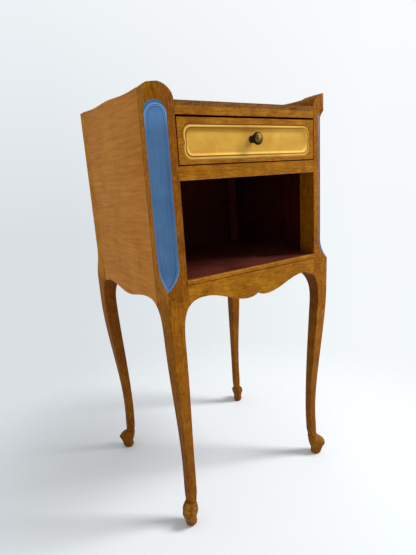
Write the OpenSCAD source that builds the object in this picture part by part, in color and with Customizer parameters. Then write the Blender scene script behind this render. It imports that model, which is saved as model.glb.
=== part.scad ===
// Small nightstand: cabriole legs, canted front corners with a painted recess,
// one drawer over an open niche. Millimetres, +Z up, the front faces -Y.
// The origin is on the floor, in the middle of the overall width and depth.

/* [Case] */
// Width over the posts
case_w = 371; // [300:1:460]
// Depth of the case, front plane to rear plane
case_d = 310; // [260:1:380]
// Height of the top board's upper face
top_z = 739; // [700:1:800]
// Thickness of the side panels
side_t = 15; // [12:0.5:20]
// Thickness of the top board
top_t = 8; // [6:0.5:12]
// How far the ears stand above the top board
ear_rise = 24; // [15:1:35]
// How far the side panels' top edge stands above the top board
gallery_rise = 23; // [16:0.5:30]
// Depth of the wave in the side panels' top edge
gallery_wave = 1.2; // [0:0.1:3]
// How much higher the side panels' top edge lies at the back
gallery_slope = 4; // [0:0.5:6]

/* [Posts] */
// Width of a front post
post_w = 40.5; // [36:0.5:50]
// Depth of a front post
post_d = 37; // [33:0.5:46]
// Width of a rear post
rear_post_w = 35.5; // [33:0.5:44]
// Depth of a rear post
rear_post_d = 30; // [26:0.5:40]
// Width of an ear's rounded shoulder
ear_w = 30; // [20:1:34]
// Width that the canted corner takes off a front post
cant_w = 27; // [18:0.5:30]
// Depth that the canted corner takes off a front post
cant_d = 20.8; // [14:0.2:26]
// Share of the full cant that is left on the ear
ear_cant = 0.6; // [0.4:0.05:0.9]

/* [Painted recess] */
// Height of the round end's centre
recess_top_z = 719; // [690:1:725]
// Height where the lower end starts to scoop outwards
recess_low_z = 490; // [470:1:540]
// Radius of the lower scoop
scoop_r = 54; // [48:1:90]
// Splay of the round end's wall, sideways for each unit of depth
recess_splay = 0.4; // [0:0.01:0.8]
// Width of the rim round the sunk field
recess_rim = 5; // [3:0.5:8]
// Depth of the sunk field below the rim
recess_sink = 1.2; // [0.5:0.1:2.5]

/* [Legs] */
// Height of the ankle
ankle_z = 110; // [90:1:140]
// Thickness of a front leg at the ankle
ankle_t = 17.3; // [13:0.1:22]
// Thickness of a rear leg at the ankle
rear_ankle_t = 16.5; // [13:0.1:22]
// Height of the knee's outer face
knee_z = 400; // [360:1:420]
// Height where a leg's inner face is furthest out
brow_z = 365; // [330:1:390]
// Thickness of a front leg at the knee, seen from the front
knee_w = 28; // [24:0.5:31]
// Thickness of a front leg at the knee, seen from the side
knee_d = 26; // [22:0.5:29]
// How far a front ankle stands in from the case's side
sweep_w = 18.5; // [8:0.5:26]
// How far a front ankle stands back from the case's front
sweep_d = 17; // [8:0.5:26]
// How far the front knee's side face slants in towards its corner
knee_slant = 3.2; // [1:0.1:5]
// Thickness of a rear leg at the knee
rear_knee_t = 26.5; // [24:0.5:30]
// How far a rear ankle stands in from the case's side
rear_sweep_w = 18; // [8:0.5:26]
// How far a rear ankle stands out behind the case
rear_ankle_out = 2.5; // [0:0.5:8]
// How far a rear knee stands out behind the case
rear_knee_out = 17; // [8:0.5:24]
// How far a rear knee stands out beside the case
rear_knee_side = 1; // [0:0.5:4]
// How far a leg turns outwards again at its toe
toe_kick = 1.5; // [0:0.1:4]
// Eased outer corner of a front leg
outer_ease = 1.6; // [0.6:0.1:3]
// Eased inner corner of a front leg
inner_ease = 4; // [1:0.1:6]
// Eased side corners of a front leg
side_ease = 1; // [0.6:0.1:3]
// Eased side corners of a rear leg
rear_side_ease = 3; // [1:0.1:5]
// Eased outer and inner corners of a rear leg
rear_ease = 1; // [0.6:0.1:3]

/* [Feet] */
// Radius of the scroll
scroll_r = 12; // [9:0.5:14]
// Height of the scroll's centre
scroll_z = 31.5; // [28:0.5:36]
// Reach of the scroll's centre, outwards from the leg's middle
scroll_out = 17.5; // [14:0.5:20]
// Width of the scroll
scroll_w = 21; // [16:0.5:26]
// Radius of the pad
pad_r = 10.5; // [8:0.5:13]
// Height of the pad
pad_h = 14; // [10:0.5:18]
// Reach of the pad's centre, outwards from the leg's middle
pad_out = 9.5; // [6:0.5:13]
// Radius of the pad's flat bottom
pad_flat_r = 7; // [5:0.5:9]

/* [Rails and aprons] */
// Height of the rail under the top board
top_rail_h = 12.5; // [8:0.5:20]
// Depth of the rail under the top board, front to back
top_rail_d = 22; // [18:0.5:36]
// Depth of the drawer rail, front to back
drawer_rail_d = 45; // [30:1:60]
// Height of the drawer rail
drawer_rail_h = 22; // [16:0.5:30]
// Height of the niche's opening
niche_h = 157; // [120:1:175]
// Thickness of the front apron
apron_t = 20; // [14:0.5:24]
// Height of the apron's arches, below the niche floor's underside
arch_drop = 24; // [18:0.5:30]
// How far the middle lobes hang below the arches
lobe_drop = 22.5; // [12:0.5:28]
// Height of the cusp between the two lobes, above them
cusp_h = 8; // [3:0.5:12]
// Half width of the two lobes
lobe_w = 22; // [14:0.5:30]
// Distance from a front arch's crown to the post
arch_w = 33; // [24:0.5:40]
// How far the side's lobe hangs below its arches
side_lobe_drop = 11; // [6:0.5:18]
// Distance from a side arch's crown to the post
side_arch_w = 36; // [28:0.5:44]
// Length of the tenons
tenon_l = 12; // [8:0.5:14]
// Distance from the front plane to the tenons
tenon_inset = 8; // [6:0.5:10]
// Thickness of the tenons
tenon_t = 7; // [5:0.5:9]
// Height of the back gallery rail
gallery_rail_h = 62; // [50:1:80]
// Height of the back bottom rail
back_rail_h = 22; // [18:0.5:30]
// Thickness of the back rails
back_rail_t = 18; // [14:0.5:22]
// Thickness of the back panel
back_t = 5; // [3:0.5:6]
// Distance from the rear plane to the back panel
back_inset = 9; // [6:0.5:10]
// Depth of the grooves that hold the panels
groove_d = 6; // [4:0.5:8]
// Thickness of the side panels' tongues
tongue_t = 5; // [4:0.5:7]

/* [Niche] */
// Thickness of the niche floor
floor_t = 8; // [6:0.5:12]
// Width of the lipping along the floor's front edge
lipping_w = 8; // [6:0.5:14]
// How far the lipping stands proud of the apron
lipping_proud = 1.5; // [0.5:0.1:3]
// Thickness of the niche's ceiling
ceiling_t = 4; // [3:0.5:6]
// Width and height of the floor cleats
cleat_s = 16; // [12:0.5:20]
// Width and depth of the corner blocks behind the apron
block_s = 22; // [16:1:30]
// Height of the corner blocks
block_h = 13; // [10:1:20]

/* [Drawer] */
// Height of the drawer front
drawer_h = 69; // [60:1:75]
// Gap above the drawer front
drawer_gap_top = 3; // [1:0.5:4]
// Gap below the drawer front
drawer_gap_low = 1.5; // [1:0.1:3]
// Gap at each end of the drawer front
drawer_gap_side = 1.5; // [1:0.1:2.5]
// Thickness of the drawer front
drawer_front_t = 18; // [16:0.5:22]
// Room between the drawer's sides and the back rails
drawer_back_room = 22; // [5:1:60]
// Distance from the ends of the drawer's sides to its back
drawer_back_inset = 8; // [4:0.5:12]
// Thickness of the drawer's sides
drawer_side_t = 9; // [8:0.5:12]
// How far the drawer's sides lie below the top of its front
drawer_side_drop = 5; // [3:0.5:20]
// Thickness of the drawer's back
drawer_back_t = 9; // [8:0.5:12]
// Thickness of the drawer's bottom
drawer_bottom_t = 4; // [3:0.5:6]
// Height of the groove for the bottom, above the sides' lower edges
drawer_groove_z = 7; // [5:0.5:10]
// Depth of the grooves for the bottom
drawer_groove_d = 4; // [3:0.5:5]
// Depth of the dovetails into the drawer front
dovetail_l = 11; // [8:0.5:13]
// Width of the sunk panel on the drawer front
panel_w = 268; // [200:1:276]
// Height of the sunk panel on the drawer front
panel_h = 51; // [36:0.5:58]
// Corner radius of the sunk panel
panel_r = 13; // [8:0.5:16]
// Depth of the cusps in the sunk panel's ends
panel_cusp = 2.2; // [1:0.1:4]
// Half height of the cusps
panel_cusp_h = 9; // [6:0.5:12]
// How far the sunk panel lies below the middle of the drawer front
panel_fall = 1; // [0:0.1:2]
// Width of the sunk panel's moulding
panel_rim = 7; // [4:0.5:10]
// Depth of the moulding's outer step
panel_step = 1.2; // [0.5:0.1:2]
// Depth of the field
panel_depth = 4; // [2:0.5:6]
// Running clearance between the drawer and its runners and guides
slide_gap = 0.3; // [0.2:0.05:0.6]
// Width of the runners and kickers, measured from the side panel
runner_w = 39; // [34:0.5:46]
// Thickness of the runners
runner_t = 12; // [10:0.5:16]
// Height of the drawer guides
guide_h = 12; // [8:0.5:20]
// Height of the drawer stops
stop_h = 5; // [4:0.5:5.5]
// Length of the drawer stops, front to back
stop_l = 12; // [8:0.5:12]

/* [Knob] */
// How far the knob's axis lies above the middle of the sunk panel
knob_rise = 2.7; // [0:0.1:4]
// Diameter of the knob's head
knob_d = 21; // [16:0.5:26]
// Thickness of the knob's head
knob_h = 8.5; // [6:0.5:12]
// Diameter of the knob's neck
neck_d = 7; // [6:0.5:9]
// Reach of the knob beyond the case's front plane
knob_reach = 18; // [15:0.5:24]
// Diameter of the rosette
rosette_d = 14; // [11:0.5:18]
// Thickness of the rosette
rosette_t = 2.5; // [1.5:0.5:4]
// Diameter of the knob's screw
knob_screw_d = 4; // [3:0.5:5]

/* [Screws] */
// Diameter of the wood screws' shanks
screw_d = 3.5; // [3:0.5:4]
// Diameter of the wood screws' heads
screw_head_d = 7; // [6:0.5:8]
// Depth that a screw holds in the second piece
screw_hold = 6; // [4:0.5:7]
// Distance from the posts to the screws in the runners and kickers
rail_screw_end = 45; // [30:1:60]
// Distance from the posts to the side screws in the cleats
cleat_side_end = 30; // [20:1:40]
// Distance from the posts to the floor screws in the cleats
cleat_floor_end = 60; // [50:1:80]
// Length of the thin screws that hold the drawer's bottom
pin_l = 12; // [10:0.5:16]

/* [Fits] */
// Glue line round tenons, tongues and dovetails
glue_gap = 0.05; // [0.02:0.01:0.2]

/* [Hidden] */

$fn = 48;
half_w = case_w / 2;
// Outward shift of a foot's middle from its ankle's outer face, and the reach of its scroll's corner
foot_mid = toe_kick / 2 - ankle_t / 2;
rear_foot_mid = toe_kick / 2 - rear_ankle_t / 2;
foot_reach = (scroll_out + scroll_r + scroll_w / 2) / sqrt(2);
// The knob and the rear feet or knees reach equally far from the origin
rear_reach = max(rear_knee_out, rear_ankle_out + rear_foot_mid + foot_reach);
front_y = (knob_reach - case_d - rear_reach) / 2;
rear_y = front_y + case_d;
post_in = half_w - post_w;
rear_post_in = half_w - rear_post_w;
post_back = front_y + post_d;
rear_post_front = rear_y - rear_post_d;
side_in = half_w - side_t;
ear_z = top_z + ear_rise;
// Heights of the front, from the top down
drawer_open_top = top_z - top_t - top_rail_h;
drawer_top = drawer_open_top - drawer_gap_top;
drawer_low = drawer_top - drawer_h;
drawer_rail_top = drawer_low - drawer_gap_low;
niche_top = drawer_rail_top - drawer_rail_h;
floor_z = niche_top - niche_h;
apron_top = floor_z - floor_t;
arch_z = apron_top - arch_drop;
// Depth between the posts, and places of the back pieces
side_len = rear_post_front - post_back;
back_y = rear_y - back_inset - back_t;
back_rail_front = rear_y - back_rail_t;
far = 500;

// Smooth step from 0 to 1
function ease(t) = let (c = min(1, max(0, t))) c * c * (3 - 2 * c);
// Outer face of a leg, from the toe through the ankle to the knee
function leg_out(z, ankle, knee, top) =
    ankle + (knee - ankle) * ease((z - ankle_z) / (top - ankle_z))
    + toe_kick * ease((ankle_z - z) / (ankle_z - scroll_z));
// Thickness of a leg below its brow
function leg_t(z, thin, thick) = thin + (thick - thin) * ease((z - ankle_z) / (brow_z - ankle_z));
// How much of a leg's eased corner is left at a height: it fades out below the brow
ease_fade = 45;
function ease_share(z) = ease((brow_z - z) / ease_fade);
// Arch that joins a leg to its apron: a rounder square than an ellipse
arch_power = 3;
function arch_pt(c, a, crown, t) =
    [c + a * pow(sin(t), 2 / arch_power), brow_z + (crown - brow_z) * pow(cos(t), 2 / arch_power)];
function arch_angle(part) = asin(pow(part, arch_power / 2));
arch_steps = 8;
leg_steps = 22;
// The leg ends inside the scroll
leg_foot_z = scroll_z;
leg_zs = [for (i = [0:leg_steps]) leg_foot_z + (brow_z - leg_foot_z) * i / leg_steps];

// Front leg, in its own quarter where outwards is positive both ways
front_ankle_x = half_w - sweep_w;
front_y_out = -front_y;
front_ankle_y = front_y_out - sweep_d;
function fx_out(z) = leg_out(z, front_ankle_x, half_w, knee_z);
function fy_out(z) = leg_out(z, front_ankle_y, front_y_out, knee_z);
function fx_in(z) = fx_out(z) - leg_t(z, ankle_t, knee_w);
function fy_in(z) = fy_out(z) - leg_t(z, ankle_t, knee_d);
// Rear leg, likewise
rear_knee_z = knee_z - 20;
rear_knee_x = half_w + rear_knee_side;
rear_ankle_x = half_w - rear_sweep_w;
rear_knee_y = rear_y + rear_knee_out;
rear_ankle_y = rear_y + rear_ankle_out;
function rx_out(z) = leg_out(z, rear_ankle_x, rear_knee_x, rear_knee_z);
function ry_out(z) = leg_out(z, rear_ankle_y, rear_knee_y, rear_knee_z);
function rx_in(z) = rx_out(z) - leg_t(z, rear_ankle_t, rear_knee_t);
function ry_in(z) = ry_out(z) - leg_t(z, rear_ankle_t, rear_knee_t);

// Points of the inner outline above the brow: arch, then the post's inner face
function arch_line(crown_at, leg_at, post_at, crown_z) =
    let (a = leg_at - crown_at, t0 = arch_angle((post_at - crown_at) / a))
    [for (i = [0:arch_steps]) arch_pt(crown_at, a, crown_z, 90 + (t0 - 90) * i / arch_steps)];

// Ear: a quarter ellipse from the post's inner face up to its top
ear_steps = 10;
function ear_line(inner, base, width, top) =
    [for (i = [0:ear_steps]) let (t = 90 * i / ear_steps)
        [inner + width - width * cos(t), base + (top - base) * sin(t)]];

// Top edge of the gallery, along the depth
function gallery_z(y) =
    let (s = (y - post_back) / side_len)
    top_z + gallery_rise - gallery_slope / 2 + gallery_slope * s + gallery_wave * cos(600 * (s - 0.5));

// Solid whose outline is drawn in the quarter's X and Z
module across(pts) {
    rotate([90, 0, 0]) linear_extrude(height = 2 * far, center = true) polygon(pts);
}
// Solid whose outline is drawn along the direction at an angle, and Z
module across_at(angle, pts) {
    rotate([0, 0, angle]) across(pts);
}

// Slanted limits that ease the corners of a leg below its brow: [outer, inner, side]
module eased_corners(out_x, out_y, in_x, in_y, eases) {
    n = leg_steps;
    r2 = sqrt(2);
    share = [for (z = leg_zs) ease_share(z)];
    outer = [for (i = [0:n]) (out_x[i] + out_y[i] - eases[0] * share[i]) / r2];
    inner = [for (i = [0:n]) (in_x[i] + in_y[i] + eases[1] * share[i]) / r2];
    right = [for (i = [0:n]) (out_x[i] - in_y[i] - eases[2] * share[i]) / r2];
    left = [for (i = [0:n]) (in_x[i] - out_y[i] + eases[2] * share[i]) / r2];
    intersection() {
        across_at(45, concat([for (i = [0:n]) [outer[i], leg_zs[i]]],
                             [for (i = [n:-1:0]) [inner[i], leg_zs[i]]]));
        across_at(-45, concat([for (i = [0:n]) [right[i], leg_zs[i]]],
                              [for (i = [n:-1:0]) [left[i], leg_zs[i]]]));
    }
}

// Leg below its brow
module leg(out_x, out_y, in_x, in_y, eases) {
    n = leg_steps;
    intersection() {
        across(concat([for (i = [0:n]) [out_x[i], leg_zs[i]]],
                      [for (i = [n:-1:0]) [in_x[i], leg_zs[i]]]));
        across_at(90, concat([for (i = [0:n]) [out_y[i], leg_zs[i]]],
                             [for (i = [n:-1:0]) [in_y[i], leg_zs[i]]]));
        eased_corners(out_x, out_y, in_x, in_y, eases);
    }
}

// Scroll foot on the leg's diagonal, with its pad
foot_steps = 14;
module foot(mid_x, mid_y) {
    neck = ankle_t * 0.56;
    arc = [for (i = [0:foot_steps]) let (t = 52 - 112 * i / foot_steps)
              [scroll_out + scroll_r * cos(t), scroll_z + scroll_r * sin(t)]];
    translate([mid_x, mid_y, 0]) rotate([0, 0, 45]) {
        rotate([90, 0, 0]) linear_extrude(height = scroll_w, center = true)
            polygon(concat([[neck, scroll_z + 24]], arc,
                           [[pad_out + pad_r * 0.85, pad_h - 3], [pad_out - pad_r * 0.85, pad_h - 3],
                            [pad_out - pad_r * 0.8, pad_h + 3], [-neck * 0.5, scroll_z - 8],
                            [-neck, scroll_z], [-neck, scroll_z + 16]]));
        translate([pad_out, 0, 0])
            rotate_extrude() polygon([[0, 0], [pad_flat_r, 0], [pad_r - 1, 2.2], [pad_r, 5], [pad_r - 0.4, 8],
                                      [pad_r - 1.6, pad_h], [0, pad_h]]);
    }
}

// Slanted side face of the front knee: full where the leg leaves the case, none at its ends.
// Away from the knee it stands clear of the post by a small margin
slant_angle = atan2(knee_slant, post_d);
slant_margin = 0.5;
slant_steps = 24;
slant_low = ankle_z + 50;
slant_full = [brow_z - 25, recess_low_z - 40];
slant_high = recess_low_z + 40;
function slant_in(z) =
    (knee_slant + slant_margin) * ease((z - slant_low) / (slant_full[0] - slant_low))
    * ease((slant_high - z) / (slant_high - slant_full[1])) - slant_margin;
function slant_at(z) =
    let (x = z > knee_z ? half_w : fx_out(z), y = z > knee_z ? front_y_out : fy_out(z))
    cos(slant_angle) * (x - slant_in(z)) + sin(slant_angle) * y;

// Angle of the canted face's outward normal, and its depth at the corner
cant_len = sqrt(cant_w * cant_w + cant_d * cant_d);
cant_angle = atan2(cant_w, cant_d);
cant_h = cant_w * cant_d / cant_len;
// Sideways places on the canted face, from its middle
cant_corner = cant_d * cant_d / cant_len - cant_len / 2;
scoop_steps = 12;
// Depth of the scoop at a height, and the height of its tip
function scoop_depth(z) = cant_h - scoop_r + sqrt(scoop_r * scoop_r - pow(max(0, recess_low_z - z), 2));
scoop_tip = recess_low_z - sqrt(scoop_r * scoop_r - pow(scoop_r - cant_h, 2));
scoop_zs = [for (i = [0:scoop_steps]) scoop_tip + (recess_low_z - scoop_tip) * i / scoop_steps];
function side_edge(z) =
    let (s = scoop_depth(z), turn = cant_angle - slant_angle)
    cant_corner + max(-s / tan(cant_angle), (slant_in(z) * cos(slant_angle) - s * cos(turn)) / sin(turn));
function front_edge(z) = cant_corner + scoop_depth(z) * tan(cant_angle);

// Places what is drawn in the canted face's own frame: X outwards from the corner, Y along the face
module on_cant() {
    translate([half_w, front_y_out, 0]) rotate([0, 0, cant_angle]) translate([0, -cant_corner, 0]) children();
}

// Body of the painted recess, with more depth for the field
module recess_body(extra) {
    rotate([90, 0, 0]) linear_extrude(height = cant_len + 8, center = true)
        polygon(concat([for (z = scoop_zs) [-scoop_depth(z) - extra, z]],
                       [[-cant_h - extra, recess_top_z + (extra > 0 ? cant_len : 0)],
                        [far, recess_top_z + (extra > 0 ? cant_len : 0)], [far, scoop_tip - 1]]));
}
// Round upper end of the recess, a little wider than the canted face
end_margin = 0.2;
module recess_end() {
    depth = cant_h + 6;
    r = cant_len / 2 + end_margin;
    translate([-cant_h, 0, recess_top_z]) rotate([0, 90, 0])
        cylinder(h = depth, r1 = r, r2 = r + recess_splay * depth);
}
// Outline of the sunk field, drawn across the face
field_half = cant_len / 2 - recess_rim;
end_arc = 14;
module field_outline() {
    low = [for (z = scoop_zs) if (front_edge(z) - side_edge(z) > 2 * recess_rim) z];
    rotate([90, 0, 90]) translate([0, 0, -far]) linear_extrude(height = 2 * far)
        polygon(concat([for (z = low) [front_edge(z) - recess_rim, z]],
                       [for (i = [0:end_arc]) field_half * [cos(180 * i / end_arc), sin(180 * i / end_arc)]
                           + [0, recess_top_z]],
                       [for (i = [len(low) - 1:-1:0]) [side_edge(low[i]) + recess_rim, low[i]]]));
}
module painted_recess() {
    on_cant() {
        recess_body(0);
        recess_end();
        intersection() {
            recess_body(recess_sink);
            field_outline();
        }
    }
}
module ear_cant_cut() {
    translate([half_w, front_y_out, 0]) rotate([0, 0, cant_angle])
        translate([-cant_h * ear_cant, -far / 2, recess_top_z]) cube([far, far, far]);
}

// Limit that the slanted side face of the front knee sets on the post
module knee_face() {
    zs = [for (i = [0:slant_steps]) slant_low + (slant_high - slant_low) * i / slant_steps];
    across_at(slant_angle, concat([[far, -1], [far, slant_low]], [for (z = zs) [slant_at(z), z]],
                                  [[far, slant_high], [far, ear_z + 1], [0, ear_z + 1], [0, -1]]));
}

// Front post, in the quarter where outwards is positive both ways
module front_post_blank() {
    n = leg_steps;
    out_x = [for (z = leg_zs) fx_out(z)];
    out_y = [for (z = leg_zs) fy_out(z)];
    in_x = [for (z = leg_zs) fx_in(z)];
    in_y = [for (z = leg_zs) fy_in(z)];
    leg(out_x, out_y, in_x, in_y, [outer_ease, inner_ease, side_ease]);
    foot(front_ankle_x + foot_mid, front_ankle_y + foot_mid);
    knee_zs = [for (i = [0:4]) brow_z + (knee_z - brow_z) * i / 4];
    y_in = front_y_out - post_d;
    intersection() {
        across(concat([for (z = knee_zs) [fx_out(z), z]],
                      [[half_w, ear_z - 1.5], [half_w - 4, ear_z]],
                      [for (i = [ear_steps:-1:0]) ear_line(post_in, top_z - 1, ear_w, ear_z)[i]],
                      [[post_in, top_z - 1]],
                      [for (i = [arch_steps:-1:0]) arch_line(post_in - arch_w, in_x[n], post_in, arch_z)[i]]));
        across_at(90, concat([for (z = knee_zs) [fy_out(z), z]],
                             [[front_y_out, ear_z], [front_y_out - 14, ear_z],
                              [y_in, gallery_z(post_back)]],
                             [for (i = [arch_steps:-1:0])
                                 arch_line(y_in - side_arch_w, in_y[n], y_in, arch_z)[i]]));
    }
}

module rear_post_blank() {
    n = leg_steps;
    out_x = [for (z = leg_zs) rx_out(z)];
    out_y = [for (z = leg_zs) ry_out(z)];
    in_x = [for (z = leg_zs) rx_in(z)];
    in_y = [for (z = leg_zs) ry_in(z)];
    leg(out_x, out_y, in_x, in_y, [rear_ease, rear_ease, rear_side_ease]);
    foot(rear_ankle_x + rear_foot_mid, rear_ankle_y + rear_foot_mid);
    hip_low = arch_z - 7;
    hip_top = arch_z + 57;
    hip = [for (i = [0:8]) i / 8];
    y_in = rear_y - rear_post_d;
    ear_top = gallery_z(rear_post_front) + 1;
    intersection() {
        across(concat([[rx_out(brow_z), brow_z], [rear_knee_x, rear_knee_z]],
                      [for (t = hip) [rear_knee_x - rear_knee_side * ease(t), hip_low + (hip_top - hip_low) * t]],
                      [[half_w, ear_top - 1.5], [half_w - 4, ear_top]],
                      [for (i = [ear_steps:-1:0]) ear_line(rear_post_in, top_z - 1, ear_w - 5, ear_top)[i]],
                      [for (i = [arch_steps:-1:0])
                          arch_line(rear_post_in - arch_w, in_x[n], rear_post_in, arch_z)[i]]));
        across_at(90, concat([[ry_out(brow_z), brow_z], [rear_knee_y, rear_knee_z]],
                             [for (t = hip) [rear_knee_y - rear_knee_out * ease(t),
                                             hip_low + (hip_top - hip_low) * t]],
                             [[rear_y, ear_top], [y_in, gallery_z(rear_post_front)]],
                             [for (i = [arch_steps:-1:0])
                                 arch_line(y_in - side_arch_w, in_y[n], y_in, arch_z)[i]]));
    }
}

// A box from its low corner to its high corner
module span(a, b) {
    translate(a) cube(b - a);
}

// Tenon heights, bottom and top, of the rails that meet a front post
apron_tenon = [arch_z + 8, apron_top - 6];
drawer_rail_tenon = [niche_top + 4, drawer_rail_top - 4];
top_rail_tenon = [drawer_open_top + 2.5, top_z - top_t - 2];
// Tenon heights of the back rails
back_rail_top = apron_top;
gallery_rail_low = top_z + 18 - gallery_rail_h;
gallery_tenon = [gallery_rail_low + 6, top_z - 8];
back_rail_tenon = [back_rail_top - back_rail_h + 4, back_rail_top - 4];
// Tongues of the side panels
tongue = [arch_z + 12, top_z + 4];
tongue_x = side_in + side_t / 2 - tongue_t / 2;
front_tenon_y = front_y + tenon_inset;
back_tenon_y = rear_y - back_rail_t / 2 - tenon_t / 2;

// Mortise for a tenon that runs sideways into a post
module side_mortise(inner, y, heights) {
    span([inner - 1, y - glue_gap, heights[0] - glue_gap],
         [inner + tenon_l + glue_gap, y + tenon_t + glue_gap, heights[1] + glue_gap]);
}

module right_front_post_shape() {
    difference() {
        mirror([0, 1, 0]) difference() {
            intersection() {
                front_post_blank();
                knee_face();
            }
            painted_recess();
            ear_cant_cut();
        }
        for (heights = [apron_tenon, drawer_rail_tenon, top_rail_tenon])
            side_mortise(post_in, front_tenon_y, heights);
        span([tongue_x - glue_gap, post_back - groove_d - glue_gap, tongue[0] - glue_gap],
             [tongue_x + tongue_t + glue_gap, post_back + 1, tongue[1] + glue_gap]);
    }
}
module right_rear_post_shape() {
    difference() {
        rear_post_blank();
        side_mortise(rear_post_in, back_tenon_y, gallery_tenon);
        side_mortise(rear_post_in, back_tenon_y, back_rail_tenon);
        span([rear_post_in - 1, back_y - glue_gap, back_rail_top - 1],
             [rear_post_in + groove_d + glue_gap, back_y + back_t + glue_gap, gallery_rail_low + 1]);
        span([tongue_x - glue_gap, rear_post_front - 1, tongue[0] - glue_gap],
             [tongue_x + tongue_t + glue_gap, rear_post_front + groove_d + glue_gap, tongue[1] + glue_gap]);
    }
}
module left_front_post() {
    color("peru") mirror([1, 0, 0]) right_front_post_shape();
}
module right_front_post() {
    color("peru") right_front_post_shape();
}
module left_rear_post() {
    color("peru") mirror([1, 0, 0]) right_rear_post_shape();
}
module right_rear_post() {
    color("peru") right_rear_post_shape();
}

// Side panel's outline along the depth: waved top edge, arched lower edge
side_steps = 20;
module side_outline() {
    front_leg = fy_in(brow_z);
    front_crown = -(front_y_out - post_d - side_arch_w);
    rear_leg = ry_in(brow_z);
    rear_crown = rear_y - rear_post_d - side_arch_w;
    front_arch = [for (p = arch_line(-front_crown, front_leg, -post_back, arch_z)) [-p[0], p[1]]];
    rear_arch = arch_line(rear_crown, rear_leg, rear_post_front, arch_z);
    lobe_y = (front_crown + rear_crown) / 2;
    lobe_half = (rear_crown - front_crown) / 2;
    front_end = arch_angle((-post_back + front_crown) / (front_leg + front_crown));
    rear_end = arch_angle((rear_post_front - rear_crown) / (rear_leg - rear_crown));
    polygon(concat(
        [for (i = [0:side_steps]) let (y = post_back + side_len * i / side_steps) [y, gallery_z(y)]],
        [for (i = [arch_steps:-1:1]) arch_pt(rear_crown, rear_leg - rear_crown, arch_z, rear_end * i / arch_steps)],
        [for (i = [side_steps:-1:0]) let (y = lobe_y + lobe_half * (2 * i / side_steps - 1))
            [y, arch_z - side_lobe_drop * ease(1 - abs(y - lobe_y) / lobe_half)]],
        [for (i = [1:arch_steps])
            let (p = arch_pt(-front_crown, front_leg + front_crown, arch_z, front_end * i / arch_steps))
            [-p[0], p[1]]]));
}
module right_side_panel_shape() {
    translate([side_in, 0, 0]) rotate([90, 0, 90]) linear_extrude(height = side_t) side_outline();
    span([tongue_x, post_back - groove_d, tongue[0]],
         [tongue_x + tongue_t, rear_post_front + groove_d, tongue[1]]);
}
// Screw holes through the runner and the cleat end in the side panel
module right_side_panel_drilled() {
    difference() {
        right_side_panel_shape();
        runner_screw_row(screw_d);
        cleat_side_screws(screw_d);
    }
}
module left_side_panel() {
    color("sienna") mirror([1, 0, 0]) right_side_panel_drilled();
}
module right_side_panel() {
    color("sienna") right_side_panel_drilled();
}

module back_panel() {
    color("saddlebrown")
        span([-rear_post_in - groove_d, back_y, back_rail_top],
             [rear_post_in + groove_d, back_y + back_t, gallery_rail_low]);
}

module rail_with_tenons(inner, y0, y1, z0, z1, tenon_y, heights) {
    span([-inner, y0, z0], [inner, y1, z1]);
    for (s = [-1, 1])
        scale([s, 1, 1]) span([inner - 1, tenon_y, heights[0]], [inner + tenon_l, tenon_y + tenon_t, heights[1]]);
}

// Back gallery rail, with a gentle crest
crest_steps = 16;
module back_gallery_rail() {
    crest = top_z + 18;
    color("peru") {
        translate([0, rear_y, 0]) rotate([90, 0, 0]) linear_extrude(height = back_rail_t)
            polygon(concat([[-rear_post_in, gallery_rail_low], [rear_post_in, gallery_rail_low]],
                           [for (i = [0:crest_steps]) let (t = 1 - 2 * i / crest_steps)
                               [rear_post_in * t, crest - 3 * cos(540 * t)]]));
        for (s = [-1, 1])
            scale([s, 1, 1]) span([rear_post_in - 1, back_tenon_y, gallery_tenon[0]],
                                  [rear_post_in + tenon_l, back_tenon_y + tenon_t, gallery_tenon[1]]);
    }
}
module back_bottom_rail() {
    color("peru") rail_with_tenons(rear_post_in, back_rail_front, rear_y, back_rail_top - back_rail_h,
                                   back_rail_top, back_tenon_y, back_rail_tenon);
}

// Board between the sides, notched round the four posts
module notched_board(z0, z1, front, back) {
    translate([0, 0, z0]) linear_extrude(height = z1 - z0) {
        translate([-post_in, front]) square([2 * post_in, rear_post_front - front]);
        translate([-side_in, max(front, post_back)])
            square([2 * side_in, rear_post_front - max(front, post_back)]);
        translate([-rear_post_in, rear_post_front - 1]) square([2 * rear_post_in, back - rear_post_front + 1]);
    }
}
module top_board() {
    color("peru") difference() {
        notched_board(top_z - top_t, top_z, front_y, back_rail_front);
        top_screws(screw_d);
    }
}
module top_front_rail() {
    color("peru") rail_with_tenons(post_in, front_y, front_y + top_rail_d, drawer_open_top, top_z - top_t,
                                   front_tenon_y, top_rail_tenon);
}
module drawer_rail() {
    color("peru") rail_with_tenons(post_in, front_y, front_y + drawer_rail_d, niche_top, drawer_rail_top,
                                   front_tenon_y, drawer_rail_tenon);
}

// Front apron: two arches that flow into two lobes with a cusp between them
apron_steps = 12;
module front_apron() {
    crown = post_in - arch_w;
    reach = fx_in(brow_z) - crown;
    end = arch_angle(arch_w / reach);
    low = arch_z - lobe_drop;
    half = concat(
        [for (i = [0:apron_steps]) let (t = 90 * i / apron_steps)
            [lobe_w * (1 - cos(t)), low + cusp_h * (1 - sin(t))]],
        [for (i = [1:apron_steps]) let (t = i / apron_steps)
            [lobe_w + (crown - lobe_w) * t, low + (arch_z - low) * ease(t)]],
        [for (i = [1:arch_steps]) arch_pt(crown, reach, arch_z, end * i / arch_steps)]);
    n = len(half) - 1;
    color("peru") {
        translate([0, front_y + apron_t, 0]) rotate([90, 0, 0]) linear_extrude(height = apron_t)
            polygon(concat([[post_in, apron_top], [-post_in, apron_top]],
                           [for (i = [n:-1:1]) [-half[i][0], half[i][1]]], half));
        for (s = [-1, 1])
            scale([s, 1, 1]) span([post_in - 1, front_tenon_y, apron_tenon[0]],
                                  [post_in + tenon_l, front_tenon_y + tenon_t, apron_tenon[1]]);
    }
}

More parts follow.
